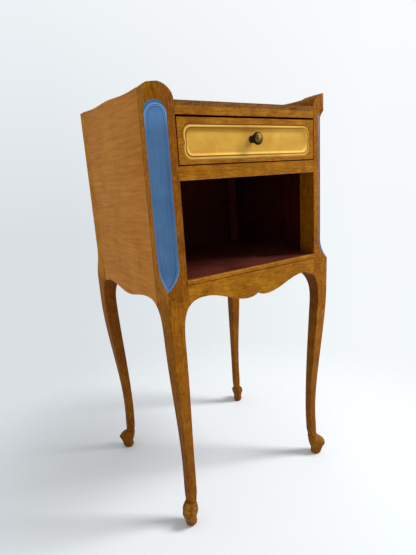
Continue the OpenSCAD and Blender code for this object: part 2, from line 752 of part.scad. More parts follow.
module niche_floor() {
    color("maroon") difference() {
        notched_board(apron_top, floor_z, front_y + lipping_w - lipping_proud, back_y);
        cleat_floor_screws(screw_d);
    }
}
module floor_lipping() {
    y0 = front_y - lipping_proud;
    r = floor_t / 2;
    color("peru") translate([-post_in, 0, 0]) rotate([90, 0, 90]) linear_extrude(height = 2 * post_in)
        polygon(concat([[y0 + lipping_w, floor_z], [y0 + lipping_w, apron_top]],
                       [for (i = [0:8]) let (t = -90 - 180 * i / 8)
                           [y0 + lipping_proud * (1 + cos(t)), apron_top + r + r * sin(t)]]));
}

// Underside of the runners, and the ceiling that hangs from them
runner_top = drawer_low - slide_gap;
runner_low = runner_top - runner_t;
module niche_ceiling() {
    color("maroon") notched_board(runner_low - ceiling_t, runner_low, front_y + drawer_rail_d, back_y);
}

// Runner from the drawer rail to the rear post, notched round the front post
runner_in = side_in - runner_w;
module side_strip(z0, z1, inner, front) {
    translate([0, 0, z0]) linear_extrude(height = z1 - z0) {
        translate([inner, front]) square([post_in - inner, rear_post_front - front]);
        translate([post_in - 1, max(front, post_back)])
            square([side_in - post_in + 1, rear_post_front - max(front, post_back)]);
    }
}
module right_runner_shape() {
    difference() {
        side_strip(runner_low, runner_top, runner_in, front_y + drawer_rail_d);
        runner_screw_row(screw_d);
    }
}
module left_drawer_runner() {
    color("burlywood") mirror([1, 0, 0]) right_runner_shape();
}
module right_drawer_runner() {
    color("burlywood") right_runner_shape();
}
guide_in = post_in - drawer_gap_side + slide_gap;
module right_guide_shape() {
    span([guide_in, post_back + 1, runner_top], [side_in, rear_post_front, runner_top + guide_h]);
}
module left_drawer_guide() {
    color("burlywood") mirror([1, 0, 0]) right_guide_shape();
}
module right_drawer_guide() {
    color("burlywood") right_guide_shape();
}
module right_kicker_shape() {
    difference() {
        side_strip(drawer_open_top, top_z - top_t, runner_in, front_y + top_rail_d);
        top_screws(screw_d);
    }
}
module left_kicker() {
    color("burlywood") mirror([1, 0, 0]) right_kicker_shape();
}
module right_kicker() {
    color("burlywood") right_kicker_shape();
}

module right_cleat_shape() {
    difference() {
        span([side_in - cleat_s, post_back, apron_top - cleat_s], [side_in, rear_post_front, apron_top]);
        cleat_floor_screws(screw_d);
        cleat_side_screws(screw_d);
    }
}
module left_floor_cleat() {
    color("burlywood") mirror([1, 0, 0]) right_cleat_shape();
}
module right_floor_cleat() {
    color("burlywood") right_cleat_shape();
}

// Glue blocks in the corners between the front posts and the apron
module corner_blocks() {
    back = front_y + apron_t;
    color("burlywood") for (s = [-1, 1])
        scale([s, 1, 1]) translate([0, 0, apron_top - block_h]) linear_extrude(height = block_h)
            polygon([[post_in, back], [post_in, min(back + block_s, post_back)], [post_in - block_s, back]]);
}

// Blocks on the drawer rail that the drawer front meets when it is shut
stop_x = post_in * 0.55;
stop_w = 24;
module drawer_stops() {
    y0 = front_y + drawer_front_t + slide_gap;
    color("burlywood") for (s = [-1, 1])
        span([s * stop_x - stop_w / 2, y0, drawer_rail_top],
             [s * stop_x + stop_w / 2, y0 + stop_l, drawer_rail_top + stop_h]);
}

// A countersunk wood screw with its head's face at the origin, pointing to +Z
module wood_screw(length) {
    cylinder(h = length, d = screw_d - 2 * glue_gap);
    cylinder(h = screw_head_d / 2 - screw_d / 2, d1 = screw_head_d, d2 = screw_d);
}
// The room for such a screw: its shank, its head and the way in
module screw_room(length, d) {
    cylinder(h = length + glue_gap, d = d);
    translate([0, 0, -glue_gap])
        cylinder(h = screw_head_d / 2 - d / 2 + glue_gap, d1 = screw_head_d + 2 * glue_gap, d2 = d);
}
side_screw_ys = [post_back + rail_screw_end, rear_post_front - rail_screw_end];
top_screw_x = side_in - 12;
top_screw_l = top_rail_h + screw_hold;
// Screws up through the kickers into the top board
module top_screws(d) {
    for (s = [-1, 1], y = side_screw_ys)
        translate([s * top_screw_x, y, top_z - top_t - top_rail_h]) screw_room(top_screw_l, d);
}
module top_board_screws() {
    color("silver") for (s = [-1, 1], y = side_screw_ys)
        translate([s * top_screw_x, y, top_z - top_t - top_rail_h]) wood_screw(top_screw_l);
}
// Screws from a counterbore in the runner's edge into the side panel
runner_screw_l = 26;
runner_screw_x = side_in + screw_hold - runner_screw_l;
module runner_screw_row(d) {
    for (y = side_screw_ys)
        translate([runner_screw_x, y, runner_low + runner_t / 2]) {
            rotate([0, 90, 0]) screw_room(runner_screw_l, d);
            rotate([0, -90, 0]) cylinder(h = far, d = screw_head_d + 2 * glue_gap);
        }
}
module runner_screws() {
    color("silver") for (s = [-1, 1], y = side_screw_ys)
        scale([s, 1, 1]) translate([runner_screw_x, y, runner_low + runner_t / 2]) rotate([0, 90, 0])
            wood_screw(runner_screw_l);
}
// Screws through a cleat: two into the side panel, two up into the floor
cleat_screw_l = cleat_s + screw_hold;
cleat_side_ys = [post_back + cleat_side_end, rear_post_front - cleat_side_end];
cleat_floor_ys = [post_back + cleat_floor_end, rear_post_front - cleat_floor_end];
cleat_floor_x = side_in - cleat_s / 2;
module cleat_side_screws(d) {
    for (y = cleat_side_ys)
        translate([side_in - cleat_s, y, apron_top - cleat_s / 2]) rotate([0, 90, 0]) screw_room(cleat_screw_l, d);
}
module cleat_floor_screws(d) {
    for (s = [-1, 1], y = cleat_floor_ys)
        translate([s * cleat_floor_x, y, apron_top - cleat_s]) screw_room(cleat_screw_l, d);
}
module cleat_screws() {
    color("silver") for (s = [-1, 1]) scale([s, 1, 1]) {
        for (y = cleat_side_ys)
            translate([side_in - cleat_s, y, apron_top - cleat_s / 2]) rotate([0, 90, 0]) wood_screw(cleat_screw_l);
        for (y = cleat_floor_ys)
            translate([cleat_floor_x, y, apron_top - cleat_s]) wood_screw(cleat_screw_l);
    }
}

// Drawer: half blind dovetails at the front, a housed back, a bottom in grooves
drawer_w = 2 * (post_in - drawer_gap_side);
drawer_x = drawer_w / 2;
drawer_side_h = drawer_h - drawer_side_drop;
drawer_side_top = drawer_low + drawer_side_h;
drawer_back_y = back_rail_front - drawer_back_room;
drawer_bottom_z = drawer_low + drawer_groove_z;
panel_z = drawer_low + drawer_h / 2 - panel_fall;
knob_z = panel_z + knob_rise;
tails = 3;
tail_flare = 1.8;
module tail_rows(clear) {
    pitch = drawer_side_h / tails;
    root = front_y + drawer_front_t;
    for (i = [0:tails - 1]) {
        mid = drawer_low + pitch * (i + 0.5);
        half = pitch * 0.28;
        polygon([[root + clear, mid - half - clear], [root + clear, mid + half + clear],
                 [root - dovetail_l - clear, mid + half + tail_flare + clear],
                 [root - dovetail_l - clear, mid - half - tail_flare - clear]]);
    }
}

// Outline of the sunk panel, drawn in X and Z, inset by a given width; its cusps fade out inwards
end_steps = 20;
module panel_outline(inset) {
    w = panel_w / 2 - inset;
    h = panel_h / 2 - inset;
    r = max(panel_r - inset * 0.5, 3);
    cusp = panel_cusp * max(0, 1 - inset / panel_rim);
    function end_x(v) =
        w - (abs(v) > h - r ? r - sqrt(max(0, r * r - pow(abs(v) - (h - r), 2))) : 0)
        - (abs(v) < panel_cusp_h ? cusp * pow(1 - abs(v) / panel_cusp_h, 2) : 0);
    vs = [for (i = [0:end_steps]) h * sin(-90 + 180 * i / end_steps)];
    polygon(concat([for (v = vs) [end_x(v), panel_z + v]],
                   [for (i = [end_steps:-1:0]) [-end_x(vs[i]), panel_z + vs[i]]]));
}
module sunk(depth, inset) {
    translate([0, front_y + depth, 0]) rotate([90, 0, 0]) linear_extrude(height = depth + 1) panel_outline(inset);
}
module drawer_front() {
    color("goldenrod") difference() {
        span([-drawer_x, front_y, drawer_low], [drawer_x, front_y + drawer_front_t, drawer_top]);
        sunk(panel_step, 0);
        sunk(panel_depth, panel_rim);
        for (s = [-1, 1]) {
            scale([s, 1, 1]) translate([drawer_x - drawer_side_t - glue_gap, 0, 0]) rotate([90, 0, 90])
                linear_extrude(height = drawer_side_t + 1) tail_rows(glue_gap);
        }
        span([-drawer_x + drawer_side_t, front_y + drawer_front_t - drawer_groove_d - glue_gap,
              drawer_bottom_z - glue_gap],
             [drawer_x - drawer_side_t, front_y + drawer_front_t + 1,
              drawer_bottom_z + drawer_bottom_t + glue_gap]);
        translate([0, front_y + drawer_front_t + 1, knob_z]) rotate([90, 0, 0])
            cylinder(h = drawer_front_t + 2, d = knob_screw_d + 2 * glue_gap);
    }
}
module drawer_right_side_shape() {
    x0 = drawer_x - drawer_side_t;
    back_in = drawer_back_y - drawer_back_inset - drawer_back_t;
    difference() {
        union() {
            span([x0, front_y + drawer_front_t, drawer_low], [drawer_x, drawer_back_y, drawer_side_top]);
            translate([x0, 0, 0]) rotate([90, 0, 90]) linear_extrude(height = drawer_side_t) tail_rows(0);
        }
        span([x0 - 1, front_y, drawer_bottom_z - glue_gap],
             [x0 + drawer_groove_d + glue_gap, drawer_back_y + 1, drawer_bottom_z + drawer_bottom_t + glue_gap]);
        span([x0 - 1, back_in - glue_gap, drawer_bottom_z + drawer_bottom_t],
             [x0 + housing_d + glue_gap, back_in + drawer_back_t + glue_gap, drawer_side_top + 1]);
    }
}
housing_d = 3;
module drawer_left_side() {
    color("burlywood") mirror([1, 0, 0]) drawer_right_side_shape();
}
module drawer_right_side() {
    color("burlywood") drawer_right_side_shape();
}
module drawer_back() {
    x = drawer_x - drawer_side_t + housing_d;
    y = drawer_back_y - drawer_back_inset - drawer_back_t;
    color("burlywood") difference() {
        span([-x, y, drawer_bottom_z + drawer_bottom_t], [x, y + drawer_back_t, drawer_side_top - 3]);
        bottom_screws_room();
    }
}
module drawer_bottom() {
    x = drawer_x - drawer_side_t + drawer_groove_d;
    y0 = front_y + drawer_front_t - drawer_groove_d;
    color("tan") difference() {
        span([-x, y0, drawer_bottom_z], [x, drawer_back_y - 2, drawer_bottom_z + drawer_bottom_t]);
        bottom_screws_room();
    }
}
pin_d = 2.5;
pin_head_d = 5;
pin_xs = [-drawer_x * 0.55, 0, drawer_x * 0.55];
pin_y = drawer_back_y - drawer_back_inset - drawer_back_t / 2;
module bottom_screws_room() {
    for (x = pin_xs)
        translate([x, pin_y, drawer_bottom_z]) cylinder(h = pin_l + glue_gap, d = pin_d + 2 * glue_gap);
}
module drawer_bottom_screws() {
    color("silver") for (x = pin_xs)
        translate([x, pin_y, drawer_bottom_z]) {
            cylinder(h = pin_l, d = pin_d);
            translate([0, 0, -1.2]) cylinder(h = 1.2, d = pin_head_d);
        }
}

// Turned knob on its rosette, with a machine screw from inside the drawer
field_y = front_y + panel_depth;
neck_y = field_y - rosette_t;
knob_y = front_y - knob_reach;
module turned(y) {
    translate([0, y, knob_z]) rotate([90, 0, 0]) rotate_extrude() children();
}
module knob() {
    reach = neck_y - knob_y;
    r = knob_d / 2;
    bore = knob_screw_d / 2 + glue_gap;
    under = reach - knob_h;
    color("darkgoldenrod") difference() {
        turned(neck_y) polygon(concat(
            [[0, 0], [neck_d / 2 + 1, 0], [neck_d / 2 + 0.4, 1.2], [neck_d / 2, 2.5], [neck_d / 2, under - 1.5],
             [neck_d / 2 + 2, under]],
            [for (i = [0:10]) let (t = -70 + 160 * i / 10)
                [r * cos(t), under + knob_h * 0.45 + (t < 0 ? knob_h * 0.42 : knob_h * 0.55) * sin(t)]]));
        translate([0, neck_y + 1, knob_z]) rotate([90, 0, 0]) cylinder(h = reach * 0.6 + 1, r = bore);
    }
}
module knob_rosette() {
    r = rosette_d / 2;
    color("darkgoldenrod") difference() {
        turned(field_y) polygon([[0, 0], [r, 0], [r, 0.8], [r - 1, 1.4], [r - 1.6, 1.1], [r - 2.4, rosette_t],
                                 [0, rosette_t]]);
        translate([0, field_y + 1, knob_z]) rotate([90, 0, 0])
            cylinder(h = rosette_t + 2, r = knob_screw_d / 2 + glue_gap);
    }
}
module knob_screw() {
    inner = front_y + drawer_front_t;
    color("silver") {
        translate([0, inner, knob_z]) rotate([90, 0, 0])
            cylinder(h = inner - neck_y + (neck_y - knob_y) * 0.5, d = knob_screw_d);
        translate([0, inner + 2, knob_z]) rotate([90, 0, 0]) cylinder(h = 2, d = knob_screw_d * 2);
    }
}

left_front_post();
right_front_post();
left_rear_post();
right_rear_post();
left_side_panel();
right_side_panel();
back_panel();
back_gallery_rail();
back_bottom_rail();
top_board();
top_front_rail();
drawer_rail();
front_apron();
niche_floor();
floor_lipping();
niche_ceiling();
left_drawer_runner();
right_drawer_runner();
left_drawer_guide();
right_drawer_guide();
left_kicker();
right_kicker();
left_floor_cleat();
right_floor_cleat();
corner_blocks();
drawer_stops();
top_board_screws();
runner_screws();
cleat_screws();
drawer_front();
drawer_left_side();
drawer_right_side();
drawer_back();
drawer_bottom();
drawer_bottom_screws();
knob();
knob_rosette();
knob_screw();
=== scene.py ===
import logging
import math
from dataclasses import dataclass, field
from enum import Enum
from typing import Callable, Sequence, Union

import bmesh
import bpy
from mathutils import Matrix, Vector


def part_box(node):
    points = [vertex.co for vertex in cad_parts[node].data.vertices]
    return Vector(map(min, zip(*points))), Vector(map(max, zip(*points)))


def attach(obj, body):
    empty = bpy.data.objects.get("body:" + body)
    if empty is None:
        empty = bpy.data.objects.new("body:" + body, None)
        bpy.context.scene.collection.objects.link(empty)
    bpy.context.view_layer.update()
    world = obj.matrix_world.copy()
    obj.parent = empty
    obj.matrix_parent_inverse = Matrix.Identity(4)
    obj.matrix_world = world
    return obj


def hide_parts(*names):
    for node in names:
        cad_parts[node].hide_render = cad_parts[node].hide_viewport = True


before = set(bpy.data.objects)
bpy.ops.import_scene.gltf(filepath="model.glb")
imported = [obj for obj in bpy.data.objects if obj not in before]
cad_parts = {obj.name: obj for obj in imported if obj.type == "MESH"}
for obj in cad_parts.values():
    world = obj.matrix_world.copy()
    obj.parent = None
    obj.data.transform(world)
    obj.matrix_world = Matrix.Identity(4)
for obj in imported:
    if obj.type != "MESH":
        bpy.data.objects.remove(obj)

log = logging.getLogger("nightstand")

MM = 0.001
CABINET = "cabinet"
DRAWER = "drawer"
# The shade attribute is mostly light and shade painted onto the pieces; SHADE_DEPTH sets its strength and
# GREEN_WARMTH how much warmer painted shade gets.
SHADE_DEPTH = 0.4  # how much lighter a shade of 1 makes a colour
GREEN_WARMTH = 0.25  # how much of a shade's warmth green gets; blue gets all of it
# Open joints get painted shade in their gap.
JOINT_PAINTED_SHADE = -1.7  # the shade in an open joint
WELD = 0.0005  # points of a new shape that are closer than this are joined, in millimetres
SMOOTH_ANGLE = 32.0  # edges sharper than this stay sharp, in degrees
FACING = 0.25  # how much of its normal a face in a joint turns to the neighbour
INWARD = 0.7  # how much of its normal a stained face turns into the case
Colour = tuple[float, float, float]
Point = tuple[float, float, float]
Place = tuple[float, float]


def srgb(red: int, green: int, blue: int) -> Colour:
    """Turns screen colour values into the linear ones that shaders use.

    Args:
        red: Red from 0 to 255.
        green: Green from 0 to 255.
        blue: Blue from 0 to 255.

    Returns:
        The linear colour.
    """
    parts = (value / 255 for value in (red, green, blue))
    linear = [part / 12.92 if part <= 0.04045 else ((part + 0.055) / 1.055) ** 2.4 for part in parts]
    return (linear[0], linear[1], linear[2])


def rise(at: float, start: float, end: float) -> float:
    """Returns a smooth rise from 0 at the start to 1 at the end."""
    part = min(1.0, max(0.0, (at - start) / (end - start)))
    return part * part * (3 - 2 * part)


class Value:
    """One shader socket, which can be used in Python sums."""

    def __init__(self, graph: "Graph", socket: bpy.types.NodeSocket) -> None:
        """Keeps the graph that new nodes go to, and the socket."""
        self.graph = graph
        self.socket = socket

    def __add__(self, other: "Number") -> "Value":
        """Returns the sum."""
        return self.graph.maths("ADD", self, other)

    def __radd__(self, other: "Number") -> "Value":
        """Returns the sum, with the socket on the right."""
        return self.graph.maths("ADD", other, self)

    def __sub__(self, other: "Number") -> "Value":
        """Returns the difference."""
        return self.graph.maths("SUBTRACT", self, other)

    def __rsub__(self, other: "Number") -> "Value":
        """Returns the difference, with the socket on the right."""
        return self.graph.maths("SUBTRACT", other, self)

    def __mul__(self, other: "Number") -> "Value":
        """Returns the product."""
        return self.graph.maths("MULTIPLY", self, other)

    def __rmul__(self, other: "Number") -> "Value":
        """Returns the product, with the socket on the right."""
        return self.graph.maths("MULTIPLY", other, self)

    def ramp(self, low: float, high: float) -> "Value":
        """Returns 0 below low, 1 above high, and a smooth rise between."""
        return self.graph.out("ShaderNodeMapRange", {"interpolation_type": "SMOOTHSTEP"},
                              {"Value": self, "From Min": low, "From Max": high})


Number = Union[Value, float]
Entry = Union[Value, float, Sequence[float]]
Entries = dict[Union[str, int], Entry]


class Graph:
    """The node tree of a material or of the world."""

    def __init__(self, owner: Union[bpy.types.Material, bpy.types.World]) -> None:
        """Switches on the nodes, which gives a material its Principled shader.

        Args:
            owner: The new material or world.
        """
        owner.use_nodes = True
        self.owner = owner
        self.tree = owner.node_tree
        self.shader = self.tree.nodes.get("Principled BSDF")

    def node(self, kind: str, settings: dict[str, object], entries: Entries) -> bpy.types.Node:
        """Adds a node.

        Args:
            kind: The node's type.
            settings: Its options, which are set before its sockets.
            entries: Values or links of its input sockets, by name or number.

        Returns:
            The new node.
        """
        made = self.tree.nodes.new(kind)
        for name, setting in settings.items():
            setattr(made, name, setting)
        for name, entry in entries.items():
            self.plug(made.inputs[name], entry)
        return made

    def plug(self, socket: bpy.types.NodeSocket, entry: Entry) -> None:
        """Links or sets one input socket.

        Args:
            socket: The input socket.
            entry: What is linked to it, or what it is set to.
        """
        if isinstance(entry, Value):
            self.tree.links.new(entry.socket, socket)
        elif socket.type == "RGBA":
            socket.default_value = (*entry, 1.0)
        else:
            socket.default_value = entry

    def out(self, kind: str, settings: dict[str, object], entries: Entries,
            output: Union[str, int] = 0) -> Value:
        """Adds a node and returns one of its outputs."""
        return Value(self, self.node(kind, settings, entries).outputs[output])

    def maths(self, operation: str, first: Number, second: Number) -> Value:
        """Returns a sum, product or the like of two numbers."""
        return self.out("ShaderNodeMath", {"operation": operation}, {0: first, 1: second})

    def mix(self, part: Number, first: Entry, second: Entry) -> Value:
        """Returns the first colour where part is 0, the second where it is 1, and a mixture between."""
        return self.out("ShaderNodeMix", {"data_type": "RGBA"}, {"Factor": part, 6: first, 7: second}, 2)

    def place(self, scale: Sequence[float] = (1.0, 1.0, 1.0)) -> Value:
        """Returns object coordinates, scaled."""
        coordinates = self.out("ShaderNodeTexCoord", {}, {}, "Object")
        return self.out("ShaderNodeMapping", {}, {"Vector": coordinates, "Scale": scale})

    def noise(self, vector: Value, scale: float, detail: float = 3.0, rough: float = 0.5,
              distortion: float = 0.0) -> Value:
        """Returns a noise value from 0 to 1."""
        return self.out("ShaderNodeTexNoise", {}, {"Vector": vector, "Scale": scale, "Detail": detail,
                                                   "Roughness": rough, "Distortion": distortion})

    def attribute(self, name: str) -> Value:
        """Returns a number that is kept on the mesh."""
        return self.out("ShaderNodeAttribute", {"attribute_name": name}, {}, "Fac")

    def shaded(self, colour: Value, warmth: float = 0.0) -> Value:
        """Makes a colour lighter or darker by the mesh's shade attribute, which is mostly painted light and
        shade.

        Args:
            colour: The colour.
            warmth: How much more the shade works on green and blue than on red, which makes painted shade
                warmer.

        Returns:
            The shaded colour.
        """
        shade = self.attribute("shade") * SHADE_DEPTH
        blue = self.maths("MAXIMUM", shade * (1.0 + warmth) + 1.0, 0.0)
        scales = self.out("ShaderNodeCombineXYZ", {}, {
            "X": shade + 1.0, "Y": shade * (1.0 + GREEN_WARMTH * warmth) + 1.0, "Z": blue})
        return self.out("ShaderNodeVectorMath", {"operation": "MULTIPLY"}, {0: colour, 1: scales})

    def finish(self, base: Entry, roughness: Number, bump: Value, depth: float,
               **fixed: float) -> bpy.types.Material:
        """Plugs the shader.

        Args:
            base: The base colour.
            roughness: The roughness.
            bump: The height of the surface, from 0 to 1.
            depth: How far that height reaches, in metres.
            fixed: Values set on the shader's own sockets, with spaces as underscores.

        Returns:
            The material.
        """
        normal = self.out("ShaderNodeBump", {}, {"Strength": 1.0, "Distance": depth, "Height": bump})
        entries = {"Base Color": base, "Roughness": roughness, "Normal": normal}
        entries.update((name.replace("_", " "), value) for name, value in fixed.items())
        for name, entry in entries.items():
            self.plug(self.shader.inputs[name], entry)
        return self.owner


class Grain(Enum):
    """The direction of a piece's grain: its long axis in object coordinates."""

    ALONG_X = 0
    ALONG_Y = 1
    ALONG_Z = 2

    def stretch(self, along: float) -> tuple[float, ...]:
        """Returns scales for a pattern that is stretched along the grain."""
        return tuple(along if axis == self.value else 1.0 for axis in range(3))


@dataclass(frozen=True)
class PolishedWood:
    """Old polished beech, mottled and streaked, with worn arrises."""

    name: str
    grain: Grain
    dark: Colour
    middle: Colour
    light: Colour
    worn: Colour
    mottle: float = 0.3
    broad: float = 0.2
    wear: float = 0.6
    rough: float = 0.5
    shine: float = 0.07
    bump: float = 0.0003

    def material(self) -> bpy.types.Material:
        """Builds the finish.

        Returns:
            The finished material.
        """
        graph = Graph(bpy.data.materials.new(self.name))
        along = graph.place(self.grain.stretch(0.14))
        fine = graph.place(self.grain.stretch(0.035))
        plain = graph.place()
        streaks = graph.noise(along, 480.0, 3.0, 0.6, 0.5)
        fibres = graph.noise(fine, 1300.0, 2.0, 0.6)
        blots = graph.noise(plain, 240.0, 3.0, 0.6, 0.4)
        patches = graph.noise(plain, 30.0, 2.0, 0.5, 0.3)
        tone = streaks * (1.0 - self.broad - self.mottle) + blots * self.mottle + patches * self.broad
        base = graph.mix(tone.ramp(0.34, 0.54), self.dark, self.middle)
        base = graph.mix(tone.ramp(0.48, 0.64), base, self.light)
        base = graph.mix(fibres.ramp(0.56, 0.72) * 0.25, base, self.dark)
        specks = graph.noise(plain, 420.0, 2.0, 0.5).ramp(0.66, 0.76)
        base = graph.mix(specks * 0.3, base, self.dark)
        rubbed = graph.attribute("wear") * blots.ramp(0.36, 0.58) * self.wear
        base = graph.mix(rubbed, base, self.worn)
        scuffs = graph.noise(plain, 95.0, 5.0, 0.65, 1.2).ramp(0.62, 0.72)
        # Painted light and shade from the shade attribute, warmer in the shade.
        base = graph.shaded(graph.mix(scuffs * 0.15, base, self.worn), 0.8)
        roughness = self.rough + blots * 0.14 + rubbed * 0.12
        height = fibres * 0.3 + streaks * 0.4 + blots * 0.3
        return graph.finish(base, roughness, height, self.bump, Specular_IOR_Level=self.shine)


@dataclass(frozen=True)
class RippledVeneer:
    """Side veneer with its grain upright and a ripple figure lying across it."""

    name: str
    dark: Colour
    middle: Colour
    light: Colour
    worn: Colour
    ripple_pitch: float = 0.0048
    rough: float = 0.5
    shine: float = 0.06
    bump: float = 0.00015

    def material(self) -> bpy.types.Material:
        """Builds the finish.

        Returns:
            The finished material.
        """
        graph = Graph(bpy.data.materials.new(self.name))
        plain = graph.place()
        bands = graph.place((0.2, 0.085, 1.0))
        upright = graph.place((1.0, 1.0, 0.05))
        ripple = graph.noise(bands, 1.0 / self.ripple_pitch, 2.0, 0.5, 0.35)
        broad = graph.noise(bands, 0.35 / self.ripple_pitch, 2.0, 0.5, 0.8)
        stripes = graph.noise(upright, 70.0, 3.0, 0.6)
        fibres = graph.noise(upright, 900.0, 2.0, 0.6)
        clouds = graph.noise(plain, 14.0, 3.0, 0.5, 0.5)
        tone = ripple * 0.42 + broad * 0.2 + stripes * 0.14 + clouds * 0.24
        base = graph.mix(tone.ramp(0.38, 0.50), self.dark, self.middle)
        base = graph.mix(tone.ramp(0.48, 0.62), base, self.light)
        base = graph.mix(fibres.ramp(0.56, 0.72) * 0.25, base, self.dark)
        base = graph.mix(graph.attribute("wear") * clouds.ramp(0.4, 0.6) * 0.45, base, self.worn)
        height = ripple * 0.3 + fibres * 0.4 + stripes * 0.3
        return graph.finish(base, self.rough + ripple * 0.1, height, self.bump,
                            Specular_IOR_Level=self.shine)


@dataclass(frozen=True)
class BrushedPaint:
    """Old oil paint with brush marks, darker in its grooves and lighter on its rims: partly dirt and rubbed
    paint, partly painted shade and highlight.
    """

    name: str
    grain: Grain
    deep: Colour
    middle: Colour
    # The grooves' and rims' colours: dirt and rubbing, partly painted shade and highlight.
    light: Colour
    groove: Colour
    rubbed: Colour
    brush: float = 0.5
    rough: float = 0.48
    warmth: float = 0.0
    shine: float = 0.18
    bump: float = 0.00015

    def material(self) -> bpy.types.Material:
        """Builds the finish.

        Returns:
            The finished material.
        """
        graph = Graph(bpy.data.materials.new(self.name))
        plain = graph.place()
        brushed = graph.place(self.grain.stretch(0.06))
        strokes = graph.noise(brushed, 260.0, 3.0, 0.6)
        wide = graph.noise(brushed, 75.0, 2.0, 0.5)
        clouds = graph.noise(plain, 28.0, 3.0, 0.5, 0.5)
        tone = (strokes * (0.4 * self.brush) + wide * (0.6 * self.brush)
                + clouds * (1.0 - self.brush))
        base = graph.mix(tone.ramp(0.32, 0.55), self.deep, self.middle)
        base = graph.mix(tone.ramp(0.50, 0.72), base, self.light)
        relief = graph.attribute("relief")
        patchy = clouds.ramp(0.25, 0.6)
        base = graph.mix((relief * -1.0).ramp(0.05, 0.9) * 0.8, base, self.groove)
        base = graph.mix(relief.ramp(0.1, 1.0) * (0.35 + patchy * 0.5), base, self.rubbed)
        # Painted light and shade from the shade attribute.
        base = graph.shaded(base, self.warmth)
        height = strokes * 0.6 + clouds * 0.4
        return graph.finish(base, self.rough + clouds * 0.12, height, self.bump,
                            Specular_IOR_Level=self.shine)


@dataclass(frozen=True)
class BareWood:
    """Unpolished inner wood, darkened with age."""

    name: str
    grain: Grain
    dark: Colour
    light: Colour
    rough: float = 0.7
    shine: float = 0.12
    bump: float = 0.0002

    def material(self) -> bpy.types.Material:
        """Builds the finish.

        Returns:
            The finished material.
        """
        graph = Graph(bpy.data.materials.new(self.name))
        along = graph.place(self.grain.stretch(0.05))
        plain = graph.place()
        streaks = graph.noise(along, 210.0, 4.0, 0.6, 0.4)
        fibres = graph.noise(along, 1300.0, 2.0, 0.5)
        stain = graph.noise(plain, 15.0, 3.0, 0.55, 0.6)
        tone = streaks * 0.5 + stain * 0.5
        base = graph.mix(tone.ramp(0.32, 0.66), self.dark, self.light)
        base = graph.mix(fibres.ramp(0.6, 0.7) * 0.35, base, self.dark)
        base = graph.mix(graph.attribute("wear") * 0.2, base, self.light)
        return graph.finish(base, self.rough + stain * 0.15, fibres * 0.6 + streaks * 0.4, self.bump,
                            Specular_IOR_Level=self.shine)


@dataclass(frozen=True)
class OldMetal:
    """Cast or turned metal, dark in its hollows and bright where it has been handled and where its relief is
    high, which on the knob is partly a painted highlight.
    """

    name: str
    dark: Colour
    bright: Colour
    rough: float = 0.4
    metallic: float = 0.9
    shine: float = 0.5
    polish: float = 0.22
    bump: float = 0.00006

    def material(self) -> bpy.types.Material:
        """Builds the finish.

        Returns:
            The finished material.
        """
        graph = Graph(bpy.data.materials.new(self.name))
        plain = graph.place()
        spots = graph.noise(plain, 900.0, 4.0, 0.6)
        clouds = graph.noise(plain, 210.0, 3.0, 0.55, 0.6)
        relief = graph.attribute("relief")
        handled_and_highlit = (clouds * 0.6 + spots * 0.25 + relief * 0.45).ramp(0.30, 0.72)
        base = graph.mix(handled_and_highlit, self.dark, self.bright)
        return graph.finish(base, self.rough + self.polish - handled_and_highlit * self.polish,
                            spots * 0.5 + clouds * 0.5, self.bump, Metallic=self.metallic,
                            Specular_IOR_Level=self.shine)


class Finish(Enum):
    """The finishes of the nightstand's pieces."""

    POST = PolishedWood("polished_posts", Grain.ALONG_Z, srgb(112, 60, 1), srgb(148, 88, 4),
                        srgb(172, 112, 20), srgb(190, 142, 72))
    RAIL = PolishedWood("polished_rails", Grain.ALONG_X, srgb(122, 68, 2), srgb(150, 93, 6),
                        srgb(174, 117, 24), srgb(190, 142, 66), mottle=0.15, broad=0.35)
    TOP = PolishedWood("polished_top", Grain.ALONG_X, srgb(86, 50, 14), srgb(118, 74, 25),
                       srgb(142, 96, 42), srgb(150, 122, 84), rough=0.6)
    SIDE = RippledVeneer("rippled_sides", srgb(186, 113, 37), srgb(200, 127, 45), srgb(212, 142, 59),
                         srgb(218, 158, 86))
    BLUE = BrushedPaint("blue_paint", Grain.ALONG_Z, srgb(75, 113, 158), srgb(86, 126, 171),
                        srgb(98, 140, 184), srgb(52, 78, 122), srgb(124, 164, 208), brush=0.6)
    OCHRE = BrushedPaint("ochre_paint", Grain.ALONG_X, srgb(193, 143, 52), srgb(206, 157, 64),
                         srgb(216, 170, 78), srgb(126, 76, 6), srgb(248, 204, 116), brush=0.35,
                         warmth=0.8, shine=0.06)
    NICHE = BareWood("stained_floor", Grain.ALONG_X, srgb(62, 22, 17), srgb(98, 44, 34), 0.5)
    NICHE_WALL = BareWood("stained_walls", Grain.ALONG_Z, srgb(46, 12, 5), srgb(78, 24, 9), 0.6)
    NICHE_POST = BareWood("stained_posts", Grain.ALONG_Z, srgb(62, 24, 9), srgb(102, 46, 16), 0.6)
    BACK = BareWood("back_ply", Grain.ALONG_Z, srgb(120, 86, 50), srgb(164, 126, 82))
    BARE_LONG = BareWood("bare_beech_long", Grain.ALONG_Y, srgb(150, 112, 72), srgb(196, 160, 114))
    BARE_WIDE = BareWood("bare_beech_wide", Grain.ALONG_X, srgb(146, 108, 70), srgb(194, 158, 112))
    BRASS = OldMetal("old_brass", srgb(38, 24, 6), srgb(138, 108, 42))
    STEEL = OldMetal("dull_steel", srgb(92, 90, 86), srgb(176, 174, 170))

    @property
    def material(self) -> bpy.types.Material:
        """The finish's material, made when it is first asked for."""
        return bpy.data.materials.get(self.value.name) or self.value.material()


